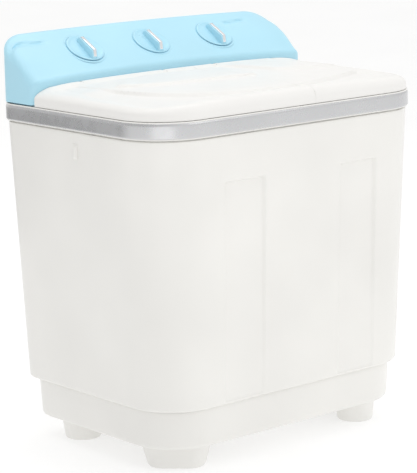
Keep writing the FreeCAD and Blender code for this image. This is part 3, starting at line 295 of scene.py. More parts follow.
CREAM = (0.868, 0.858, 0.828)
CYAN = (0.445, 0.755, 0.895)
finish = {
    "white_plastic": moulded("cream_polypropylene", CREAM, 0.33, coat=0.15, worn=(0.9, 0.89, 0.87)),
    "lid_plastic": moulded("lid_gloss_white", (0.872, 0.862, 0.842), 0.34, grain=0.012, variation=0.01, specular=0.32),
    "tub_plastic": moulded("tub_white", (0.86, 0.86, 0.85), 0.30, coat=0.1, dust=0.8),
    "blue_plastic": moulded("inner_blue", (0.36, 0.66, 0.80), 0.34, coat=0.1),
    "console_blue": moulded("console_sky_blue", CYAN, 0.36, coat=0.12, grain=0.06, worn=(0.55, 0.85, 0.95)),
    "knob_blue": moulded("knob_sky_blue", (0.43, 0.745, 0.89), 0.32, coat=0.15, grain=0.05, worn=(0.55, 0.85, 0.95)),
    "silver_trim": lacquer("silver_lacquer", (0.615, 0.618, 0.63), 0.27),
    "chrome": chrome("bright_chrome", (0.86, 0.86, 0.88)),
    "steel": metal("turned_steel", (0.58, 0.58, 0.59), 0.26, (1.0, 1.0, 12.0)),
    "zinc_steel": metal("zinc_plate", (0.62, 0.63, 0.64), 0.34, (6.0, 1.0, 1.0), tint=0.12),
    "motor_steel": metal("motor_laminations", (0.20, 0.215, 0.23), 0.42, (0.4, 0.4, 14.0), metallic=0.6, grain=0.3),
    "cast_alloy": metal("cast_aluminium", (0.58, 0.59, 0.60), 0.46, (1.0, 1.0, 1.0), grain=0.35, tint=0.1),
    "dark_plastic": moulded("black_nylon", (0.045, 0.045, 0.05), 0.48, variation=0.15, dust=1.0, grain=0.12),
    "black_rubber": rubber("black_rubber", (0.04, 0.04, 0.042)),
}

slot_of_node = {part["node"]: part["material_slot"] for part in frame["record"]["subparts"]}


# ======================================================================================
# mesh helpers
# ======================================================================================
def make_piece(name, verts, faces, body, slot, nodes=(), sharp=35.0, extra=()):
    """A finished object from a list of millimetre points, riding on a body, with the finish of its record slot."""
    mesh = bpy.data.meshes.new(name)
    mesh.from_pydata([tuple(c * MM for c in v) for v in verts], [], faces)
    piece = bpy.data.objects.new(name, mesh)
    bpy.context.scene.collection.objects.link(piece)
    tidy_mesh(mesh)
    for modify in extra:
        modify(piece)
    shade(piece.data, sharp)
    dress(piece, body, slot, nodes)
    return piece


def tidy_mesh(mesh):
    bm = bmesh.new()
    bm.from_mesh(mesh)
    bmesh.ops.remove_doubles(bm, verts=bm.verts, dist=1e-7)
    bmesh.ops.dissolve_degenerate(bm, edges=bm.edges, dist=1e-7)
    bmesh.ops.recalc_face_normals(bm, faces=bm.faces)
    bm.to_mesh(mesh)
    bm.free()


def shade(mesh, sharp):
    for polygon in mesh.polygons:
        polygon.use_smooth = True
    mesh.set_sharp_from_angle(angle=math.radians(sharp))


def dress(piece, body, slot, nodes):
    piece.data.materials.clear()
    piece.data.materials.append(finish[slot])
    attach(piece, body)
    if nodes:
        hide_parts(*nodes)


def baked(piece):
    """Applies the object's modifiers to its mesh."""
    graph = bpy.context.evaluated_depsgraph_get()
    done = bpy.data.meshes.new_from_object(piece.evaluated_get(graph))
    piece.modifiers.clear()
    old = piece.data
    piece.data = done
    bpy.data.meshes.remove(old)


def boolean(operation, *cutters):
    """Returns a step that cuts or joins plain mesh solids, given as (verts, faces) in millimetres."""

    def run(piece):
        for verts, faces in cutters:
            mesh = bpy.data.meshes.new("cutter")
            mesh.from_pydata([tuple(c * MM for c in v) for v in verts], [], faces)
            tidy_mesh(mesh)
            tool = bpy.data.objects.new("cutter", mesh)
            bpy.context.scene.collection.objects.link(tool)
            modifier = piece.modifiers.new("cut", "BOOLEAN")
            modifier.operation = operation
            modifier.solver = "EXACT"
            modifier.object = tool
            baked(piece)
            bpy.data.objects.remove(tool)
            bpy.data.meshes.remove(mesh)

    return run


def bevel(width, segments=3, angle=40.0):
    def run(piece):
        modifier = piece.modifiers.new("edge", "BEVEL")
        modifier.width = width * MM
        modifier.segments = segments
        modifier.limit_method = "ANGLE"
        modifier.angle_limit = math.radians(angle)
        modifier.use_clamp_overlap = True
        baked(piece)

    return run


def box_solid(x0, x1, y0, y1, z0, z1):
    verts = [(x, y, z) for z in (z0, z1) for y in (y0, y1) for x in (x0, x1)]
    faces = [(0, 2, 3, 1), (4, 5, 7, 6), (0, 1, 5, 4), (2, 6, 7, 3), (0, 4, 6, 2), (1, 3, 7, 5)]
    return verts, faces


def rod_solid(a, b, radius, sides=32):
    a, b = Vector(a), Vector(b)
    along = (b - a).normalized()
    side = along.orthogonal().normalized()
    other = along.cross(side)
    verts = []
    for end in (a, b):
        for k in range(sides):
            turn = 2 * math.pi * k / sides
            verts.append(tuple(end + radius * (math.cos(turn) * side + math.sin(turn) * other)))
    faces = [tuple(range(sides))[::-1], tuple(range(sides, 2 * sides))]
    for k in range(sides):
        following = (k + 1) % sides
        faces.append((k, following, sides + following, sides + k))
    return verts, faces


def merged_solids(*solids):
    verts, faces = [], []
    for more_verts, more_faces in solids:
        base = len(verts)
        verts.extend(more_verts)
        faces.extend(tuple(base + i for i in face) for face in more_faces)
    return verts, faces


def outline(half_w, half_d, r_front, r_rear, steps=14, front_x=(), cx=0.0, cy=0.0):
    """Rounded rectangle from above, anticlockwise from the front right, with chosen stops along the front."""
    points = []
    corners = ((1, -1, r_front, -90), (1, 1, r_rear, 0), (-1, 1, r_rear, 90), (-1, -1, r_front, 180))
    for sx, sy, r, start in corners:
        ox = cx + sx * (half_w - r)
        oy = cy + sy * (half_d - r)
        for k in range(steps + 1):
            a = math.radians(start + 90 * k / steps)
            points.append((ox + r * math.cos(a), oy + r * math.sin(a)))
    points.extend((x, cy - half_d) for x in front_x)
    return points


def plan_ring(size, inset, z, steps, front_x=(), cy=0.0):
    """One ring of a casing outline of (half width, half depth, front radius, rear radius), drawn in by inset."""
    half_w, half_d, r_front, r_rear = size
    points = outline(half_w - inset, half_d - inset, r_front - inset, r_rear - inset, steps, front_x, cy=cy)
    return [(x, y, z) for x, y in points]


def stack(rings, closed=True, caps=False):
    """Faces between successive rings of equal length; closed joins the last ring to the first."""
    count = len(rings[0])
    verts = [point for ring in rings for point in ring]
    faces = []
    pairs = len(rings) if closed else len(rings) - 1
    for row in range(pairs):
        a = row * count
        b = ((row + 1) % len(rings)) * count
        for k in range(count):
            n = (k + 1) % count
            faces.append((a + k, a + n, b + n, b + k))
    if caps:
        faces.append(tuple(range(count))[::-1])
        last = (len(rings) - 1) * count
        faces.append(tuple(range(last, last + count)))
    return verts, faces


def lathe(profile, x, y, sides=96, z=0.0):
    """A closed (radius, height) profile turned about the vertical through x, y."""
    rings = []
    for r, h in profile:
        rings.append([(x + r * math.cos(2 * math.pi * k / sides), y + r * math.sin(2 * math.pi * k / sides), z + h)
                      for k in range(sides)])
    return rings


def smooth(a, b, t):
    """0 below a, 1 above b and an easy curve between; also works for b < a."""
    u = np.clip((np.asarray(t, float) - a) / (b - a), 0, 1)
    return u * u * (3 - 2 * u)


def size_at(low, high, levels, z):
    t = (z - levels[0]) / (levels[1] - levels[0])
    return [a + (b - a) * t for a, b in zip(low, high)]


# ======================================================================================
# cabinet
# ======================================================================================
FLUTES = ((-157.0, -78.0, 463.0), (90.0, 166.0, 462.0))


def flute_depth(x, z):
    """How far the front wall is set back at x, z."""
    depth = 0.0
    for x0, x1, top in FLUTES:
        deep = 1.4 + 3.4 * smooth(107, top, z)
        across = smooth(x0 - 1.2, x0 + 1.6, x) * (1 - smooth(x1 - 0.5, x1 + 7.5, x))
        along = 1 - smooth(top - 2.5, top + 1.5, z)
        depth += deep * across * along
    return depth


def front_stops():
    stops = set(range(-182, 183, 14))
    for x0, x1, _ in FLUTES:
        stops = {x for x in stops if not (x0 - 6 < x < x0 + 6 or x1 - 5 < x < x1 + 12)}
        stops.update(x0 + d for d in (-5, -2.5, -1.2, -0.4, 0.3, 0.9, 1.6, 3, 5.5))
        stops.update(x1 + d for d in (-4, -1.5, -0.5, 0.8, 2.1, 3.5, 4.9, 6.2, 7.5, 9, 11))
    return sorted(stops)


def make_body():
    stops = front_stops()
    levels = [109.0, 112.0, 118.0, 135.0, 170.0, 210.0, 250.0, 290.0, 330.0, 370.0, 405.0, 435.0, 450.0, 456.0]
    levels += [458.5, 459.5, 460.5, 461.3, 462.0, 462.7, 463.3, 464.0, 465.0, 467.0, 472.0, 485.0, 505.0, 522.0, 529.0]
    bottom_edge = ((10.5, 106.0), (10.5, 103.2), (6.5, 103.0), (3.6, 103.3), (1.8, 104.3), (0.7, 105.8), (0.15, 107.4))
    top_edge = ((0.0, 532.6), (0.25, 533.9), (0.9, 534.8), (1.8, 535.0), (2.9, 534.9))
    rows = [(inset, z, False) for inset, z in bottom_edge]
    rows += [(0.0, z, True) for z in levels]
    rows += [(inset, z, False) for inset, z in top_edge]
    rows += [(WALL, z, True) for z in reversed(levels)]
    rows += [(WALL, 106.2, False)]
    rings = []
    for inset, z, fluted in rows:
        points = plan_ring(size_at(BODY_LOW, BODY_HIGH, BODY_Z, z), inset, z, 16, stops)
        first_stop = len(points) - len(stops)
        ring = []
        for index, (x, y, _) in enumerate(points):
            if fluted and index >= first_stop:
                y += flute_depth(x, z)
            ring.append((x, y, z))
        rings.append(ring)
    make_piece("cabinet_body", *stack(rings), "machine", "white_plastic", ["cabinet_shell"], sharp=50)


def make_skirt():
    rows = [(9.0, 37.0), (6.0, 37.3), (3.4, 38.3), (1.5, 40.2), (0.4, 42.8), (0.0, 46.0), (0.0, 70.0), (0.0, 96.0),
            (0.3, 100.5), (1.2, 102.6), (2.4, 103.0), (3.0, 102.6), (3.0, 96.0), (3.0, 60.0), (3.0, 46.0),
            (6.0, 41.5), (10.0, 40.0)]
    rings = [plan_ring(size_at(SKIRT_LOW, SKIRT_HIGH, SKIRT_Z, z), inset, z, 16) for inset, z in rows]
    verts, faces = stack(rings, closed=False, caps=True)
    slots = []
    half_length, half_width = VENT_HALF
    for centre_x in VENT_X:
        for row in range(-3, 4):
            middle = row * VENT_PITCH
            slots.append(box_solid(centre_x - half_length, centre_x + half_length,
                                   middle - half_width, middle + half_width, SKIRT_Z[0] - 2, SKIRT_Z[0] + 5))
    make_piece("base_tray", verts, faces, "machine", "white_plastic", ["base_skirt"], sharp=50,
               extra=[boolean("DIFFERENCE", merged_solids(*slots))])


def make_feet():
    """Four rounded feet set across the corners, softly rounded at the ground."""
    rows = [(7.0, 0.0), (3.6, 0.3), (1.5, 1.3), (0.4, 3.2), (0.0, 6.0), (0.0, 20.0), (0.0, 34.0),
            (-0.6, 36.2), (-1.4, 36.95)]
    for sx, sy in ((-1, -1), (1, -1), (-1, 1), (1, 1)):
        turn = math.radians(-45.0 * sx * sy)
        rings = []
        for inset, z in rows:
            share = z / SKIRT_Z[0]
            length = FOOT_LOW[0] + (FOOT_HIGH[0] - FOOT_LOW[0]) * share
            width = FOOT_LOW[1] + (FOOT_HIGH[1] - FOOT_LOW[1]) * share
            corner = FOOT_CORNER - inset
            ring = []
            for x, y in outline(length / 2 - inset, width / 2 - inset, corner, corner, 12):
                ring.append((sx * FOOT_CENTRE[0] + x * math.cos(turn) - y * math.sin(turn),
                             sy * FOOT_CENTRE[1] + x * math.sin(turn) + y * math.cos(turn), z))
            rings.append(ring)
        verts, faces = stack(rings, closed=False, caps=True)
        name = ("left", "right")[sx > 0] + ("_front", "_rear")[sy > 0]
        make_piece("foot_" + name, verts, faces, "machine", "white_plastic", ["feet"], sharp=50)


def make_band():
    """The silver trim: a flat face with softly rolled edges."""
    z0, z1 = BAND_Z
    section = [(2.9, z0 + 0.3), (1.6, z0), (0.7, z0 + 0.15), (0.2, z0 + 0.6), (0.05, z0 + 1.5), (0.0, z0 + 3.5),
               (0.0, (z0 + z1) / 2), (0.0, z1 - 5.5), (0.08, z1 - 4.2), (0.3, z1 - 3.0), (0.75, z1 - 1.8),
               (1.3, z1 - 0.8), (1.9, z1 - 0.2), (2.4, z1), (2.9, z1 - 0.3)]
    rings = [plan_ring(BAND, inset, z, 24) for inset, z in section]
    make_piece("silver_band", *stack(rings), "machine", "silver_trim", ["trim_band"], sharp=60)


def make_hook():
    """The small soft catch for the hose on the left wall."""
    wall_x = -size_at(BODY_LOW, BODY_HIGH, BODY_Z, HOOK_Z)[0]
    side = [(0.9, -8.5), (-1.6, -8.0), (-3.4, -6.4), (-4.2, -3.0), (-4.4, 5.0), (-3.9, 12.0), (-2.4, 17.0), (1.2, 20.0)]
    rings = []
    for y, swell in ((-4.5, 0.55), (-3.2, 0.85), (-1.0, 1.0), (3.0, 1.0), (5.2, 0.85), (6.5, 0.55)):
        rings.append([(wall_x + (dx * swell if dx < 0 else dx), y, HOOK_Z + dz) for dx, dz in side])
    verts, faces = stack(rings, closed=False, caps=True)
    make_piece("hose_catch", verts, faces, "machine", "white_plastic", ["cabinet_shell"], sharp=60)


# ======================================================================================
# lids
# ======================================================================================
def rows_of_y():
    """Row positions of the lid grid, close together along the curved front."""
    straight_end = LID_Y[0] + LID_CORNER
    rows = [LID_Y[1] - d for d in (0.0, 0.35, 1.2, 2.5, 4.2, 6.2, 8.0, 10.5)]
    y = rows[-1]
    while y - 2.5 > straight_end + 1.5:
        y -= 2.5
        rows.append(y)
    turns = 44
    for k in range(turns + 1):
        rows.append(straight_end - LID_CORNER * math.sin(math.pi / 2 * k / turns))
    return rows


def spaced(a, b, step, fine=(0.0, 0.25, 0.8, 1.6, 2.8, 4.4, 6.4, 8.8, 11.6)):
    """Stops from a to b, close together at both ends, as shares of the whole."""
    length = b - a
    inner = [fine[-1] + k for k in np.linspace(0, length - 2 * fine[-1], max(2, int((length - 2 * fine[-1]) / step)))]
    stops = list(fine[:-1]) + inner + [length - f for f in reversed(fine[:-1])]
    return np.array(stops) / length


def edge_distance(x, y):
    """Distance inside the lids' rounded outline, and how far that edge faces sideways (1) or forwards (0)."""
    ax = np.abs(x)
    dx = ax - (LID_HALF - LID_CORNER)
    dy = LID_Y[0] + LID_CORNER - y
    reach = np.maximum(np.hypot(dx, dy), 1e-6)
    to_side = LID_HALF - ax
    to_front = y - LID_Y[0]
    in_corner = (dx > 0) & (dy > 0)
    distance = np.where(in_corner, LID_CORNER - reach, np.minimum(to_side, to_front))
    sideways = np.where(in_corner, (dx / reach) ** 2, np.where(to_side < to_front, 1.0, 0.0))
    return distance, sideways


def curve_points(points, per=24):
    """A smooth curve through the points, as short straight runs."""
    points = np.array(points, float)
    padded = np.vstack([2 * points[0] - points[1], points, 2 * points[-1] - points[-2]])
    line = []
    for i in range(1, len(padded) - 2):
        p0, p1, p2, p3 = padded[i - 1:i + 3]
        for t in np.linspace(0, 1, per, endpoint=False):
            line.append(0.5 * (2 * p1 + (p2 - p0) * t + (2 * p0 - 5 * p1 + 4 * p2 - p3) * t * t
                               + (3 * p1 - p0 - 3 * p2 + p3) * t ** 3))
    line.append(points[-1])
    return np.array(line)


def signed_distance(line, x, y):
    """Distance of each point from the curve, positive on its left-hand side, and the position along it from 0 to 1."""
    starts, run = line[:-1], line[1:] - line[:-1]
    length = np.maximum((run * run).sum(1), 1e-9)
    distances, positions = [], []
    points = np.stack([x, y], 1)
    for first in range(0, len(points), 3000):
        offset = points[first:first + 3000, None, :] - starts
        share = np.clip((offset * run).sum(2) / length, 0, 1)
        gap = offset - run * share[:, :, None]
        reach = np.hypot(gap[:, :, 0], gap[:, :, 1])
        nearest = reach.argmin(1)
        row = np.arange(len(nearest))
        side = run[nearest, 0] * gap[row, nearest, 1] - run[nearest, 1] * gap[row, nearest, 0]
        distances.append(np.copysign(reach[row, nearest], side))
        positions.append((nearest + share[row, nearest]) / len(starts))
    return np.concatenate(distances), np.concatenate(positions)


# The waves' lines on the lids, from left to right.
SWEEP = curve_points([(-214, 40), (-203, -20), (-184, -78), (-140, -130), (-60, -160), (40, -163), (150, -132),
                      (226, -96), (268, -64)])
LEAF_LOW = curve_points([(-196, 22), (-165, -4), (-120, -22), (-55, -32), (10, -38), (64, -40)])
LEAF_HIGH = curve_points([(-196, 22), (-150, 52), (-85, 74), (-20, 70), (30, 34), (64, -40)])
PETAL = curve_points([(60, 108), (95, 62), (112, 20), (128, -14), (165, -30), (215, -30), (262, -14), (284, 6)])


def relief(x, y):
    """The moulded waves on the lids: a stepped sweep round the front, a leaf on the left, a petal at the right."""
    s, along = signed_distance(SWEEP, x, y)
    ends = smooth(0.0, 0.10, along) * (1 - smooth(0.9, 1.0, along))
    rise = 0.84 * smooth(-0.5, 4.6, s) + 0.16 * smooth(4.0, 34.0, s)
    height = -6.0 * (1 - rise) * (0.25 + 0.75 * ends) - 1.4
    low, _ = signed_distance(LEAF_LOW, x, y)
    high, _ = signed_distance(LEAF_HIGH, x, y)
    height += 3.8 * smooth(-0.5, 3.6, low) * smooth(0.5, -9.0, high)
    p, along = signed_distance(PETAL, x, y)
    ends = smooth(0.0, 0.2, along) * (1 - smooth(0.9, 1.0, along))
    height += 4.2 * smooth(-1.0, 4.8, p) * (0.3 + 0.7 * ends) - 4.2
    return height * smooth(104, 80, y)


def lid_tops(x, y):
    """Height of the lids' top surface at each point."""
    x, y = np.asarray(x, float), np.asarray(y, float)
    d, sideways = edge_distance(x, y)
    crown = CROWN_Z - 7.0 * np.abs(x / LID_HALF) ** 2.4 - 4.0 * np.maximum(0.0, (96.0 - y) / 300.0) ** 1.3
    width = 34.0 + 36.0 * sideways
    fall = 18.0 + 6.0 * (1 - sideways)
    t = np.clip((width - d) / width, 0, 1)
    drop = fall * (1 - np.sqrt(1 - t * t))
    z = crown - drop + relief(x, y) * smooth(4.0, 46.0, d)
    over = np.clip((y - HINGE_Y) / (CROWN_Z - HINGE_Z), 0, 1)
    rolled = HINGE_Z + (z - HINGE_Z) * np.sqrt(1 - over * over)
    return np.where(y > HINGE_Y, np.minimum(z, rolled), z)


def lid_top(x, y):
    return float(lid_tops([x], [y])[0])


def make_ear(x, radius):
    """A hinge ear: an eye level with the lid's rear roll, joined to the console by a short arm."""
    half = KNUCKLE_WIDTH / 2
    arm_top = min(KNUCKLE_ARM, radius - 0.3)
    arm_start = math.sqrt(radius ** 2 - arm_top ** 2)
    arm_end = CONSOLE_Y[0] - HINGE_Y
    side = [(arm_start, arm_top), (arm_end, arm_top), (arm_end, -arm_top), (arm_start, -arm_top)]
    turn_start = math.atan2(arm_top, arm_start)
    for k in range(1, 36):
        turn = -turn_start - (2 * math.pi - 2 * turn_start) * k / 36
        side.append((radius * math.cos(turn), radius * math.sin(turn)))
    rings = [[(x + dx, HINGE_Y + dy, HINGE_Z + dz) for dy, dz in side] for dx in (-half, half)]
    verts, faces = stack(rings, closed=False, caps=True)
    bore = rod_solid((x - 9, HINGE_Y, HINGE_Z), (x + 9, HINGE_Y, HINGE_Z), PIN_R, 24)
    make_piece("hinge_ear_%d" % x, verts, faces, "machine", "lid_plastic", ["hinge_knuckles"],
               extra=[boolean("DIFFERENCE", bore)])


def make_lid(name, left, right, hinges):
    """One lid: crowned skin, straight hem and open underside, as one closed shell."""
    rows = rows_of_y()
    straight_end = LID_Y[0] + LID_CORNER

    def ends(y, inset):
        half = LID_HALF - inset
        if y < straight_end:
            r = LID_CORNER - inset
            drop = min(r, straight_end - y)
            half = LID_HALF - LID_CORNER + math.sqrt(max(0.0, r * r - drop * drop))
        x0 = left + inset if left > -LID_HALF else -half
        x1 = right - inset if right < LID_HALF else half
        return x0, x1

    shares = spaced(max(left, -LID_HALF), min(right, LID_HALF), 2.9)

    def surface(inset):
        front, rear = LID_Y[0] + inset, LID_Y[1] - inset
        places = []
        for y in rows:
            v = (y - LID_Y[0]) / (LID_Y[1] - LID_Y[0])
            level_y = front + v * (rear - front)
            x0, x1 = ends(level_y, inset)
            places.extend((x0 + (x1 - x0) * u, level_y) for u in shares)
        x, y = np.array(places).T
        z = lid_tops(x, y) - inset
        if inset:
            z = np.maximum(z, LID_BOTTOM + 2.5)
        else:
            seam = min((left, right), key=abs)
            z = z - EDGE_ROLL * (1 - np.sqrt(1 - np.clip(1 - np.abs(x - seam) / EDGE_ROLL, 0, 1) ** 2))
        return np.stack([x, y, z], 1).reshape(len(rows), len(shares), 3).tolist()

    outer = surface(0.0)
    inner = surface(LID_SKIN)
    n_rows, n_cols = len(outer), len(outer[0])
    verts = [p for row in outer for p in row] + [p for row in inner for p in row]
    shift = n_rows * n_cols
    faces = []
    for i in range(n_rows - 1):
        for j in range(n_cols - 1):
            a = i * n_cols + j
            faces.append((a, a + n_cols, a + n_cols + 1, a + 1))
            faces.append((shift + a, shift + a + 1, shift + a + n_cols + 1, shift + a + n_cols))
    loop = [(0, j) for j in range(n_cols)]
    loop += [(i, n_cols - 1) for i in range(1, n_rows)]
    loop += [(n_rows - 1, j) for j in range(n_cols - 2, -1, -1)]
    loop += [(i, 0) for i in range(n_rows - 2, 0, -1)]
    count = len(loop)
    hem = []
    for level, source in ((LID_BOTTOM + 0.9, "outer"), (LID_BOTTOM + 0.25, "mid"), (LID_BOTTOM, "inner_edge")):
        start = len(verts)
        for i, j in loop:
            ox, oy = outer[i][j][:2]
            ix, iy = inner[i][j][:2]
            share = {"outer": 0.0, "mid": 0.12, "inner_edge": 0.4}[source]
            verts.append((ox + (ix - ox) * share, oy + (iy - oy) * share, level))
        hem.append(start)
    start = len(verts)
    for i, j in loop:
        ix, iy = inner[i][j][:2]
        verts.append((ix, iy, LID_BOTTOM + 0.2))
    hem.append(start)

    def index(base, k):
        i, j = loop[k % count]
        return base + i * n_cols + j

    for k in range(count):
        n = (k + 1) % count
        faces.append((index(0, k), index(0, n), hem[0] + n, hem[0] + k))
        for a, b in zip(hem, hem[1:]):
            faces.append((a + k, a + n, b + n, b + k))
        faces.append((hem[-1] + k, hem[-1] + n, index(shift, n), index(shift, k)))

    bosses, slots, bores = [], [], []
    for hx in hinges:
        top = lid_top(hx, HINGE_Y - 2) - 1.3
        ear = lid_top(hx, HINGE_Y) - HINGE_Z - 0.35
        make_ear(hx, ear)
        bosses.append(box_solid(hx - 13, hx + 13, HINGE_Y - 7.5, LID_Y[1] - 1.2, HINGE_Z - 7, top - 1.5))
        slots.append(box_solid(hx - SLOT_HALF, hx + SLOT_HALF, HINGE_Y - ear - SLOT_GAP, LID_Y[1] + 1,
                               HINGE_Z - 9, CROWN_Z + 2))
        bores.append(rod_solid((hx - 12, HINGE_Y, HINGE_Z), (hx + 12, HINGE_Y, HINGE_Z), 2.56, 24))
    steps = [boolean("UNION", merged_solids(*bosses)), boolean("DIFFERENCE", merged_solids(*slots)),
             boolean("DIFFERENCE", merged_solids(*bores))]
    return make_piece(name + "_shell", verts, faces, name, "lid_plastic", [name], sharp=40, extra=steps)


# ======================================================================================
# console
# ======================================================================================
SLOPE_DIR = Vector((0.0, math.cos(SLOPE_ANGLE), math.sin(SLOPE_ANGLE)))
SLOPE_UP = Vector((0.0, -math.sin(SLOPE_ANGLE), math.cos(SLOPE_ANGLE)))


def on_slope(x, along=KNOB_ALONG, lift=0.0):
    return Vector((x, SLOPE_START[0], SLOPE_START[1])) + SLOPE_DIR * along + SLOPE_UP * lift


def rounded_path(corners, radii, arc_steps=8, step=3.0):
    """Points along a polyline whose corners are rounded; returns (y, z) points evenly filled in."""
    corners = [Vector((a, b)) for a, b in corners]
    path = [corners[0]]
    for i in range(1, len(corners) - 1):
        r = radii[i - 1]
        back = (corners[i - 1] - corners[i]).normalized()
        ahead = (corners[i + 1] - corners[i]).normalized()
        half = back.angle(ahead) / 2
        reach = r / math.tan(half)
        a = corners[i] + back * reach
        b = corners[i] + ahead * reach
        centre = corners[i] + (back + ahead).normalized() * (r / math.sin(half))
        for k in range(arc_steps + 1):
            t = k / arc_steps
            direction = (a - centre).normalized().slerp((b - centre).normalized(), t)
            path.append(centre + direction * r)
    path.append(corners[-1])
    filled = []
    for p, q in zip(path, path[1:]):
        pieces = max(1, int((q - p).length / step))
        for k in range(pieces):
            filled.append(p + (q - p) * (k / pieces))
    filled.append(path[-1])
    return filled


def console_scoop(x, along):
    """Depth of the two shallow finger scoops at the ends of the sloped face."""
    depth = 0.0
    for centre, half, sign in ((-249.0, 34.0, -1), (199.0, 27.0, 1)):
        u = (x - centre) / half
        if abs(u) < 1.25:
            line = SCOOP_ALONG + 2.5 * u * sign
            v = along - line
            body = float(smooth(1.15, 0.75, abs(u)))
            depth += 3.0 * body * float(smooth(4.0, 1.0, v)) * float(smooth(-12.0, 0.0, v))
    return depth


def make_console():
    """The blue console: its side profile swept across, falling in to flat ends, as a hollow shell with a plinth."""
    front, rear = CONSOLE_Y
    slope_meets_front = SLOPE_START[1] + (front - SLOPE_START[0]) * math.tan(SLOPE_ANGLE)
    knee_y = SLOPE_START[0] + (CONSOLE_TOP - SLOPE_START[1]) / math.tan(SLOPE_ANGLE)
    corners = [(front, CONSOLE_BOTTOM), (front, slope_meets_front), (knee_y - 1.0, CONSOLE_TOP),
               (rear, CONSOLE_TOP), (rear, CONSOLE_BOTTOM)]
    path = rounded_path(corners, (9.0, 6.0, 3.0))
    slope_length = (Vector((knee_y, CONSOLE_TOP)) - Vector((front, slope_meets_front))).length

    def along_slope(p):
        return (p.x - SLOPE_START[0]) * math.cos(SLOPE_ANGLE) + (p.y - SLOPE_START[1]) * math.sin(SLOPE_ANGLE)

    def normal_at(i):
        run = path[min(len(path) - 1, i + 1)] - path[max(0, i - 1)]
        return Vector((-run.y, run.x)).normalized()

    def end_of(p):
        """Where a point of the side profile goes on the flat end, and how wide the rounding to it is."""
        share = min(1.0, max(0.0, along_slope(p) / slope_length))
        if p.x > rear - 0.5:
            up = (p.y - CONSOLE_BOTTOM) / (CONSOLE_TOP - CONSOLE_BOTTOM)
            return Vector((END_REAR[0], CONSOLE_BOTTOM + (END_REAR[1] - CONSOLE_BOTTOM) * up)), END_WIDE_REAR
        if p.x < front + 0.5:
            up = (p.y - CONSOLE_BOTTOM) / (slope_meets_front - CONSOLE_BOTTOM)
            return Vector((END_FRONT[0], CONSOLE_BOTTOM + (END_FRONT[1] - CONSOLE_BOTTOM) * up)), END_WIDE_FRONT
        back = min(1.0, max(0.0, (p.x - knee_y) / (rear - knee_y)))
        wide = END_WIDE_FRONT + 10.0 * share + (END_WIDE_REAR - END_WIDE_FRONT - 10.0) * float(smooth(0.6, 1.0, share))
        ahead, top, behind = Vector(END_FRONT), Vector(END_TOP), Vector(END_REAR)
        return (ahead.lerp(top, share) if back == 0 else top.lerp(behind, back)), wide

    normals = [normal_at(i) for i in range(len(path))]
    ends = [end_of(p) for p in path]

    turns = [math.radians(a) for a in (90, 82, 74, 66, 58, 50, 42, 34, 26, 18, 10, 4, 0)]
    flat = list(np.linspace(0.0, 1.0, 132))
    stations = [("left", t) for t in turns] + [("flat", f) for f in flat[1:-1]]
    stations += [("right", t) for t in reversed(turns)]
    rings = []
    for kind, value in stations:
        ring = []
        for p, n, (end, wide) in zip(path, normals, ends):
            if kind == "flat":
                x = -CONSOLE_HALF + wide + (2 * CONSOLE_HALF - 2 * wide) * value
                q = p.copy()
            else:
                side = -1 if kind == "left" else 1
                x = side * (CONSOLE_HALF - wide * (1 - math.sin(value)))
                q = end + (p - end) * math.cos(value)
            s = along_slope(p)
            share = min(1.0, max(0.0, s / slope_length))
            crease = 5.0 * abs(x / 229.0) ** 2.2
            top = 2.6 * (x / 240.0) ** 2
            if p.y < CREASE_Z and p.x < front + 3:
                arch = crease * float(smooth(575.0, CREASE_Z - 6, p.y))
            elif p.x > rear - 4:
                arch = top * float(smooth(600.0, CONSOLE_TOP, p.y))
            else:
                arch = crease * (1 - float(smooth(0.0, 0.45, share))) + top * float(smooth(0.5, 1.0, share))
            scoop = console_scoop(x, s) if 5 < s < slope_length - 6 else 0.0
            ring.append((x, q.x + n.x * -scoop, q.y - arch - n.y * scoop))
        rings.append(ring)
    count = len(path)
    verts = [p for ring in rings for p in ring]
    faces = []
    for i in range(len(rings) - 1):
        for k in range(count - 1):
            a = i * count + k
            faces.append((a, a + 1, a + count + 1, a + count))
    faces.append(tuple(range(count)))
    last = (len(rings) - 1) * count
    faces.append(tuple(range(last, last + count))[::-1])

    def thicken(piece):
        modifier = piece.modifiers.new("wall", "SOLIDIFY")
        modifier.thickness = CONSOLE_WALL * MM
        modifier.offset = -1.0
        modifier.use_even_offset = False
        baked(piece)
        tidy_mesh(piece.data)

    holes = [rod_solid(on_slope(x, lift=-14), on_slope(x, lift=8), SPINDLE_HOLE_R) for x in KNOB_X]
    window = box_solid(-252, 252, 199, 215, 580, 655)
    make_piece("console_shell", verts, faces, "machine", "console_blue", ["console_housing"], sharp=40,
               extra=[thicken, boolean("DIFFERENCE", window), boolean("DIFFERENCE", merged_solids(*holes))])
    low, high = PLINTH_Z
    rows = [(0.0, low), (0.0, high), (WALL, high), (WALL, low)]
    rings = [plan_ring(PLINTH, inset, z, 8, cy=PLINTH_Y) for inset, z in rows]
    make_piece("console_plinth", *stack(rings), "machine", "console_blue", ["console_housing"])


def slope_matrix(x):
    """Carries a shape drawn flat, +Z outward and +Y up the slope, to a control's place."""
    turn = Matrix.Rotation(SLOPE_ANGLE, 4, "X")
    return Matrix.Translation(on_slope(x)) @ turn


def placed(solid, matrix):
    verts, faces = solid
    return [tuple(matrix @ Vector(v)) for v in verts], faces


BLADE = (  # up the slope, height, half width
    (-31.0, 4.6, 4.4), (-30.6, 5.4, 5.0), (-29.4, 6.8, 5.5), (-27.0, 9.6, 5.8), (-24.6, 12.3, 5.9), (-23.0, 13.6, 5.9),
    (-21.6, 14.1, 5.9), (-20.0, 14.15, 5.9), (-10.0, 13.3, 5.9), (0.0, 12.5, 5.8), (10.0, 11.7, 5.6), (15.0, 11.2, 5.4),
    (18.0, 10.6, 5.0), (20.4, 9.3, 4.4), (22.4, 7.2, 3.4), (23.5, 5.4, 2.3), (23.9, 4.6, 1.4))


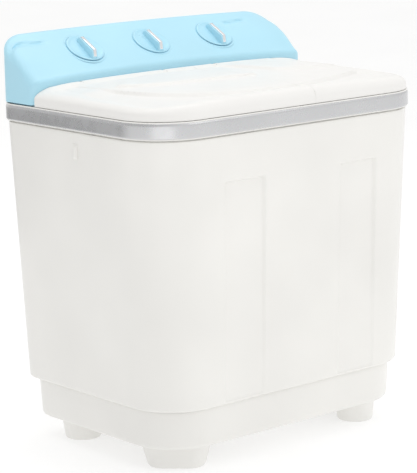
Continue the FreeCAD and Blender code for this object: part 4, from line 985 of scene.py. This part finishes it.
def make_knob(name, x):
    """Dial, tapered grip and plated pointer of one rotary control."""
    matrix = slope_matrix(x)
    g = KNOB_GAP
    r = KNOB_R
    profile = [(0.01, g), (r - 2.5, g), (r - 0.8, g + 0.1), (r, g + 0.6), (r - 0.1, g + 1.2), (r - 0.8, g + 1.8),
               (r - 2.0, g + 2.1), (r - 3.4, g + 2.0), (r - 4.6, g + 1.5), (r - 6.0, g + 1.1), (r - 9.0, g + 1.1),
               (14.0, g + 1.6), (0.01, g + 1.7)]
    dial = stack(lathe(profile, 0, 0, 72), closed=False, caps=True)
    rings = []
    for along, height, half in BLADE:
        foot = 1.4
        section = [(1.0, foot), (0.97, 0.5 * (foot + height)), (0.84, height - 1.2), (0.70, height - 0.4),
                   (0.45, height)]
        section = [(half * share, max(foot + 0.1 * k, level)) for k, (share, level) in enumerate(section)]
        ring = [(px, along, pz) for px, pz in section] + [(-px, along, pz) for px, pz in reversed(section)]
        rings.append(ring)
    grip = stack(rings, closed=False, caps=True)
    shaft = [(0.01, -20.0), (2.6, -20.0), (3.0, -19.6), (3.0, g + 1.0), (0.01, g + 1.0)]
    spindle = stack(lathe(shaft, 0, 0, 24), closed=False, caps=True)
    solid = placed(dial, matrix)
    make_piece(name + "_dial", *solid, name, "knob_blue", [name], sharp=30,
               extra=[boolean("UNION", placed(grip, matrix)), boolean("UNION", placed(spindle, matrix))])
    side = [(16.8, 10.6), (16.6, 12.2), (15.8, 12.7), (0.0, 14.0), (-20.6, 15.7), (-22.2, 15.5), (-23.1, 14.6),
            (-30.1, 6.2), (-30.0, 5.0), (-28.6, 5.2), (-21.8, 13.4), (-20.0, 13.7)]
    rings = [[(px, py, pz) for py, pz in side] for px in (-3.0, 3.0)]
    strip = placed(stack(rings, closed=False, caps=True), matrix)
    ridge = [(r + 1.2, -0.6), (r + 1.2, 0.25), (r + 2.0, 0.5), (r + 3.4, 0.5), (r + 4.6, 0.1), (r + 5.0, -0.6)]
    seat = lathe(ridge, 0, 0, 72)
    make_piece(name + "_seat", *placed(stack(seat), matrix), "machine", "console_blue", ["console_housing"], sharp=50)
    make_piece(name + "_pointer", *strip, name, "chrome", [name + "_strip"], extra=[bevel(0.6)])


# ======================================================================================
# build
# ======================================================================================
make_body()
make_skirt()
make_feet()
make_band()
make_hook()
make_lid("wash_lid", -LID_HALF, SEAM_X - SEAM_GAP, HINGE_X[:2])
make_lid("spin_lid", SEAM_X + SEAM_GAP, LID_HALF, HINGE_X[2:])
make_console()
for knob_name, knob_x in zip(("wash_knob", "drain_knob", "spin_knob"), KNOB_X):
    make_knob(knob_name, knob_x)

for node_name, node in frame["nodes"].items():
    if not node.hide_render:
        slot_material = finish[slot_of_node[node_name]]
        if not node.data.materials:
            node.data.materials.append(slot_material)
        for index in range(len(node.data.materials)):
            node.data.materials[index] = slot_material


# ---- floor and light -----------------------------------------------------------------
def ground(name, half, middle, z, flagged):
    """A flat pale lit sheet; a flagged one falls off to grey far behind on the left."""
    tree = Tree(name)
    grain = tree.spread(tree.noise(3.0, 4.0), 0.3, 0.7)
    tree.feed(tree.shader, "Normal", tree.bump(tree.noise(160.0), 0.05, 0.001))
    tree.shader.inputs["Roughness"].default_value = 0.8
    tree.shader.inputs["Specular IOR Level"].default_value = 0.1
    heading = tree.nodes.new("ShaderNodeVectorMath")
    heading.operation = "NORMALIZE"
    tree.links.new(tree.place, heading.inputs[0])
    facing = tree.nodes.new("ShaderNodeVectorMath")
    facing.operation = "DOT_PRODUCT"
    tree.links.new(heading.outputs[0], facing.inputs[0])
    facing.inputs[1].default_value = FALL_OFF_HEADING
    distance = tree.nodes.new("ShaderNodeVectorMath")
    distance.operation = "LENGTH"
    tree.links.new(tree.place, distance.inputs[0])
    sector = tree.spread(facing.outputs["Value"], 0.70, 1.0, 0.0, 1.0 if flagged else 0.0)
    far = tree.spread(distance.outputs["Value"], 1.5, 2.2)
    grey = tree.math("MULTIPLY", sector, far)
    pale = tree.mix(grain, (0.55, 0.55, 0.55, 1), (0.57, 0.57, 0.57, 1))
    tree.feed(tree.shader, "Base Color", tree.mix(grey, pale, (0.30, 0.30, 0.30, 1)))
    front = tree.nodes.new("ShaderNodeVectorMath")
    front.operation = "DOT_PRODUCT"
    tree.links.new(heading.outputs[0], front.inputs[0])
    front.inputs[1].default_value = BRIGHT_HEADING
    lobe = tree.math("MULTIPLY", tree.spread(front.outputs["Value"], 0.90, 0.99), far)
    glow = tree.spread(grey, 0.0, 1.0, FLOOR_GLOW, FLAG_GLOW)
    glow = tree.math("ADD", glow, tree.math("MULTIPLY", lobe, LOBE_GLOW))
    tree.feed(tree.shader, "Emission Color", (1.0, 1.0, 1.0, 1.0))
    tree.feed(tree.shader, "Emission Strength", glow)
    mesh = bpy.data.meshes.new(name)
    x0, x1, y0, y1 = middle[0] - half, middle[0] + half, middle[1] - half, middle[1] + half
    mesh.from_pydata([(x0, y0, z), (x1, y0, z), (x1, y1, z), (x0, y1, z)], [], [(0, 1, 2, 3)])
    mesh.materials.append(tree.material)
    sheet = bpy.data.objects.new(name, mesh)
    bpy.context.scene.collection.objects.link(sheet)
    sheet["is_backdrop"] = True
    return sheet


ground("studio_floor", 30.0, (0.0, 0.0), 0.0, False)
# The flag is a grey sheet that only reflections meet: the silver band mirrors it, and the floor stays plain.
flag = ground("studio_flag", 4.0, (-2.5, 4.9), 0.002, True)
flag.visible_camera = False
flag.visible_diffuse = False
flag.visible_shadow = False

world = bpy.data.worlds.new("studio")
world.use_nodes = True
world.node_tree.nodes["Background"].inputs["Color"].default_value = (1.0, 0.998, 0.992, 1.0)
place = world.node_tree.nodes.new("ShaderNodeTexCoord").outputs["Generated"]
toward_left = world.node_tree.nodes.new("ShaderNodeVectorMath")
toward_left.operation = "DOT_PRODUCT"
toward_left.inputs[1].default_value = (-0.95, 0.25, 0.1)
world.node_tree.links.new(place, toward_left.inputs[0])
sky = world.node_tree.nodes.new("ShaderNodeMapRange")
for socket, value in (("From Min", 0.1), ("From Max", 0.9), ("To Min", 0.86), ("To Max", 0.63)):
    sky.inputs[socket].default_value = value
world.node_tree.links.new(toward_left.outputs["Value"], sky.inputs["Value"])
world.node_tree.links.new(sky.outputs["Result"], world.node_tree.nodes["Background"].inputs["Strength"])
bpy.context.scene.world = world


def softbox(name, place, target, size, power, tint=(1.0, 1.0, 1.0)):
    light = bpy.data.lights.new(name, "AREA")
    light.shape = "RECTANGLE"
    light.size, light.size_y = size
    light.energy = power
    light.color = tint
    lamp = bpy.data.objects.new(name, light)
    lamp.location = place
    lamp.rotation_euler = (Vector(target) - Vector(place)).to_track_quat("-Z", "Y").to_euler()
    bpy.context.scene.collection.objects.link(lamp)
    return lamp


softbox("key", (1.2, -2.6, 2.3), (0.0, 0.0, 0.35), (2.2, 1.8), 7.0)
softbox("overhead", (0.0, 0.2, 3.0), (0.0, 0.0, 0.5), (3.0, 2.4), 24.0)

# ---- camera --------------------------------------------------------------------------
azimuth, elevation, lean = (math.radians(a) for a in (CAMERA_HEADING, CAMERA_FALL, CAMERA_LEAN))
forward = Vector((math.sin(azimuth) * math.cos(elevation), math.cos(azimuth) * math.cos(elevation),
                  -math.sin(elevation)))
level = Vector((math.cos(azimuth), -math.sin(azimuth), 0.0))
upright = level.cross(forward)
cam_x = level * math.cos(lean) + upright * math.sin(lean)
cam_y = upright * math.cos(lean) - level * math.sin(lean)
camera_data = bpy.data.cameras.new("camera")
camera_data.sensor_width = SENSOR
camera_data.lens = SENSOR * LENS_RATIO
camera_data.clip_start = 0.05
camera_data.clip_end = 100.0
camera = bpy.data.objects.new("camera", camera_data)
axes = Matrix((cam_x, cam_y, -forward)).transposed().to_4x4()
camera.matrix_world = Matrix.Translation(Vector(CAMERA_PLACE) * MM) @ axes
bpy.context.scene.collection.objects.link(camera)
bpy.context.scene.camera = camera
bpy.context.scene.view_settings.view_transform = "Standard"

low_corner, high_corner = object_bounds()
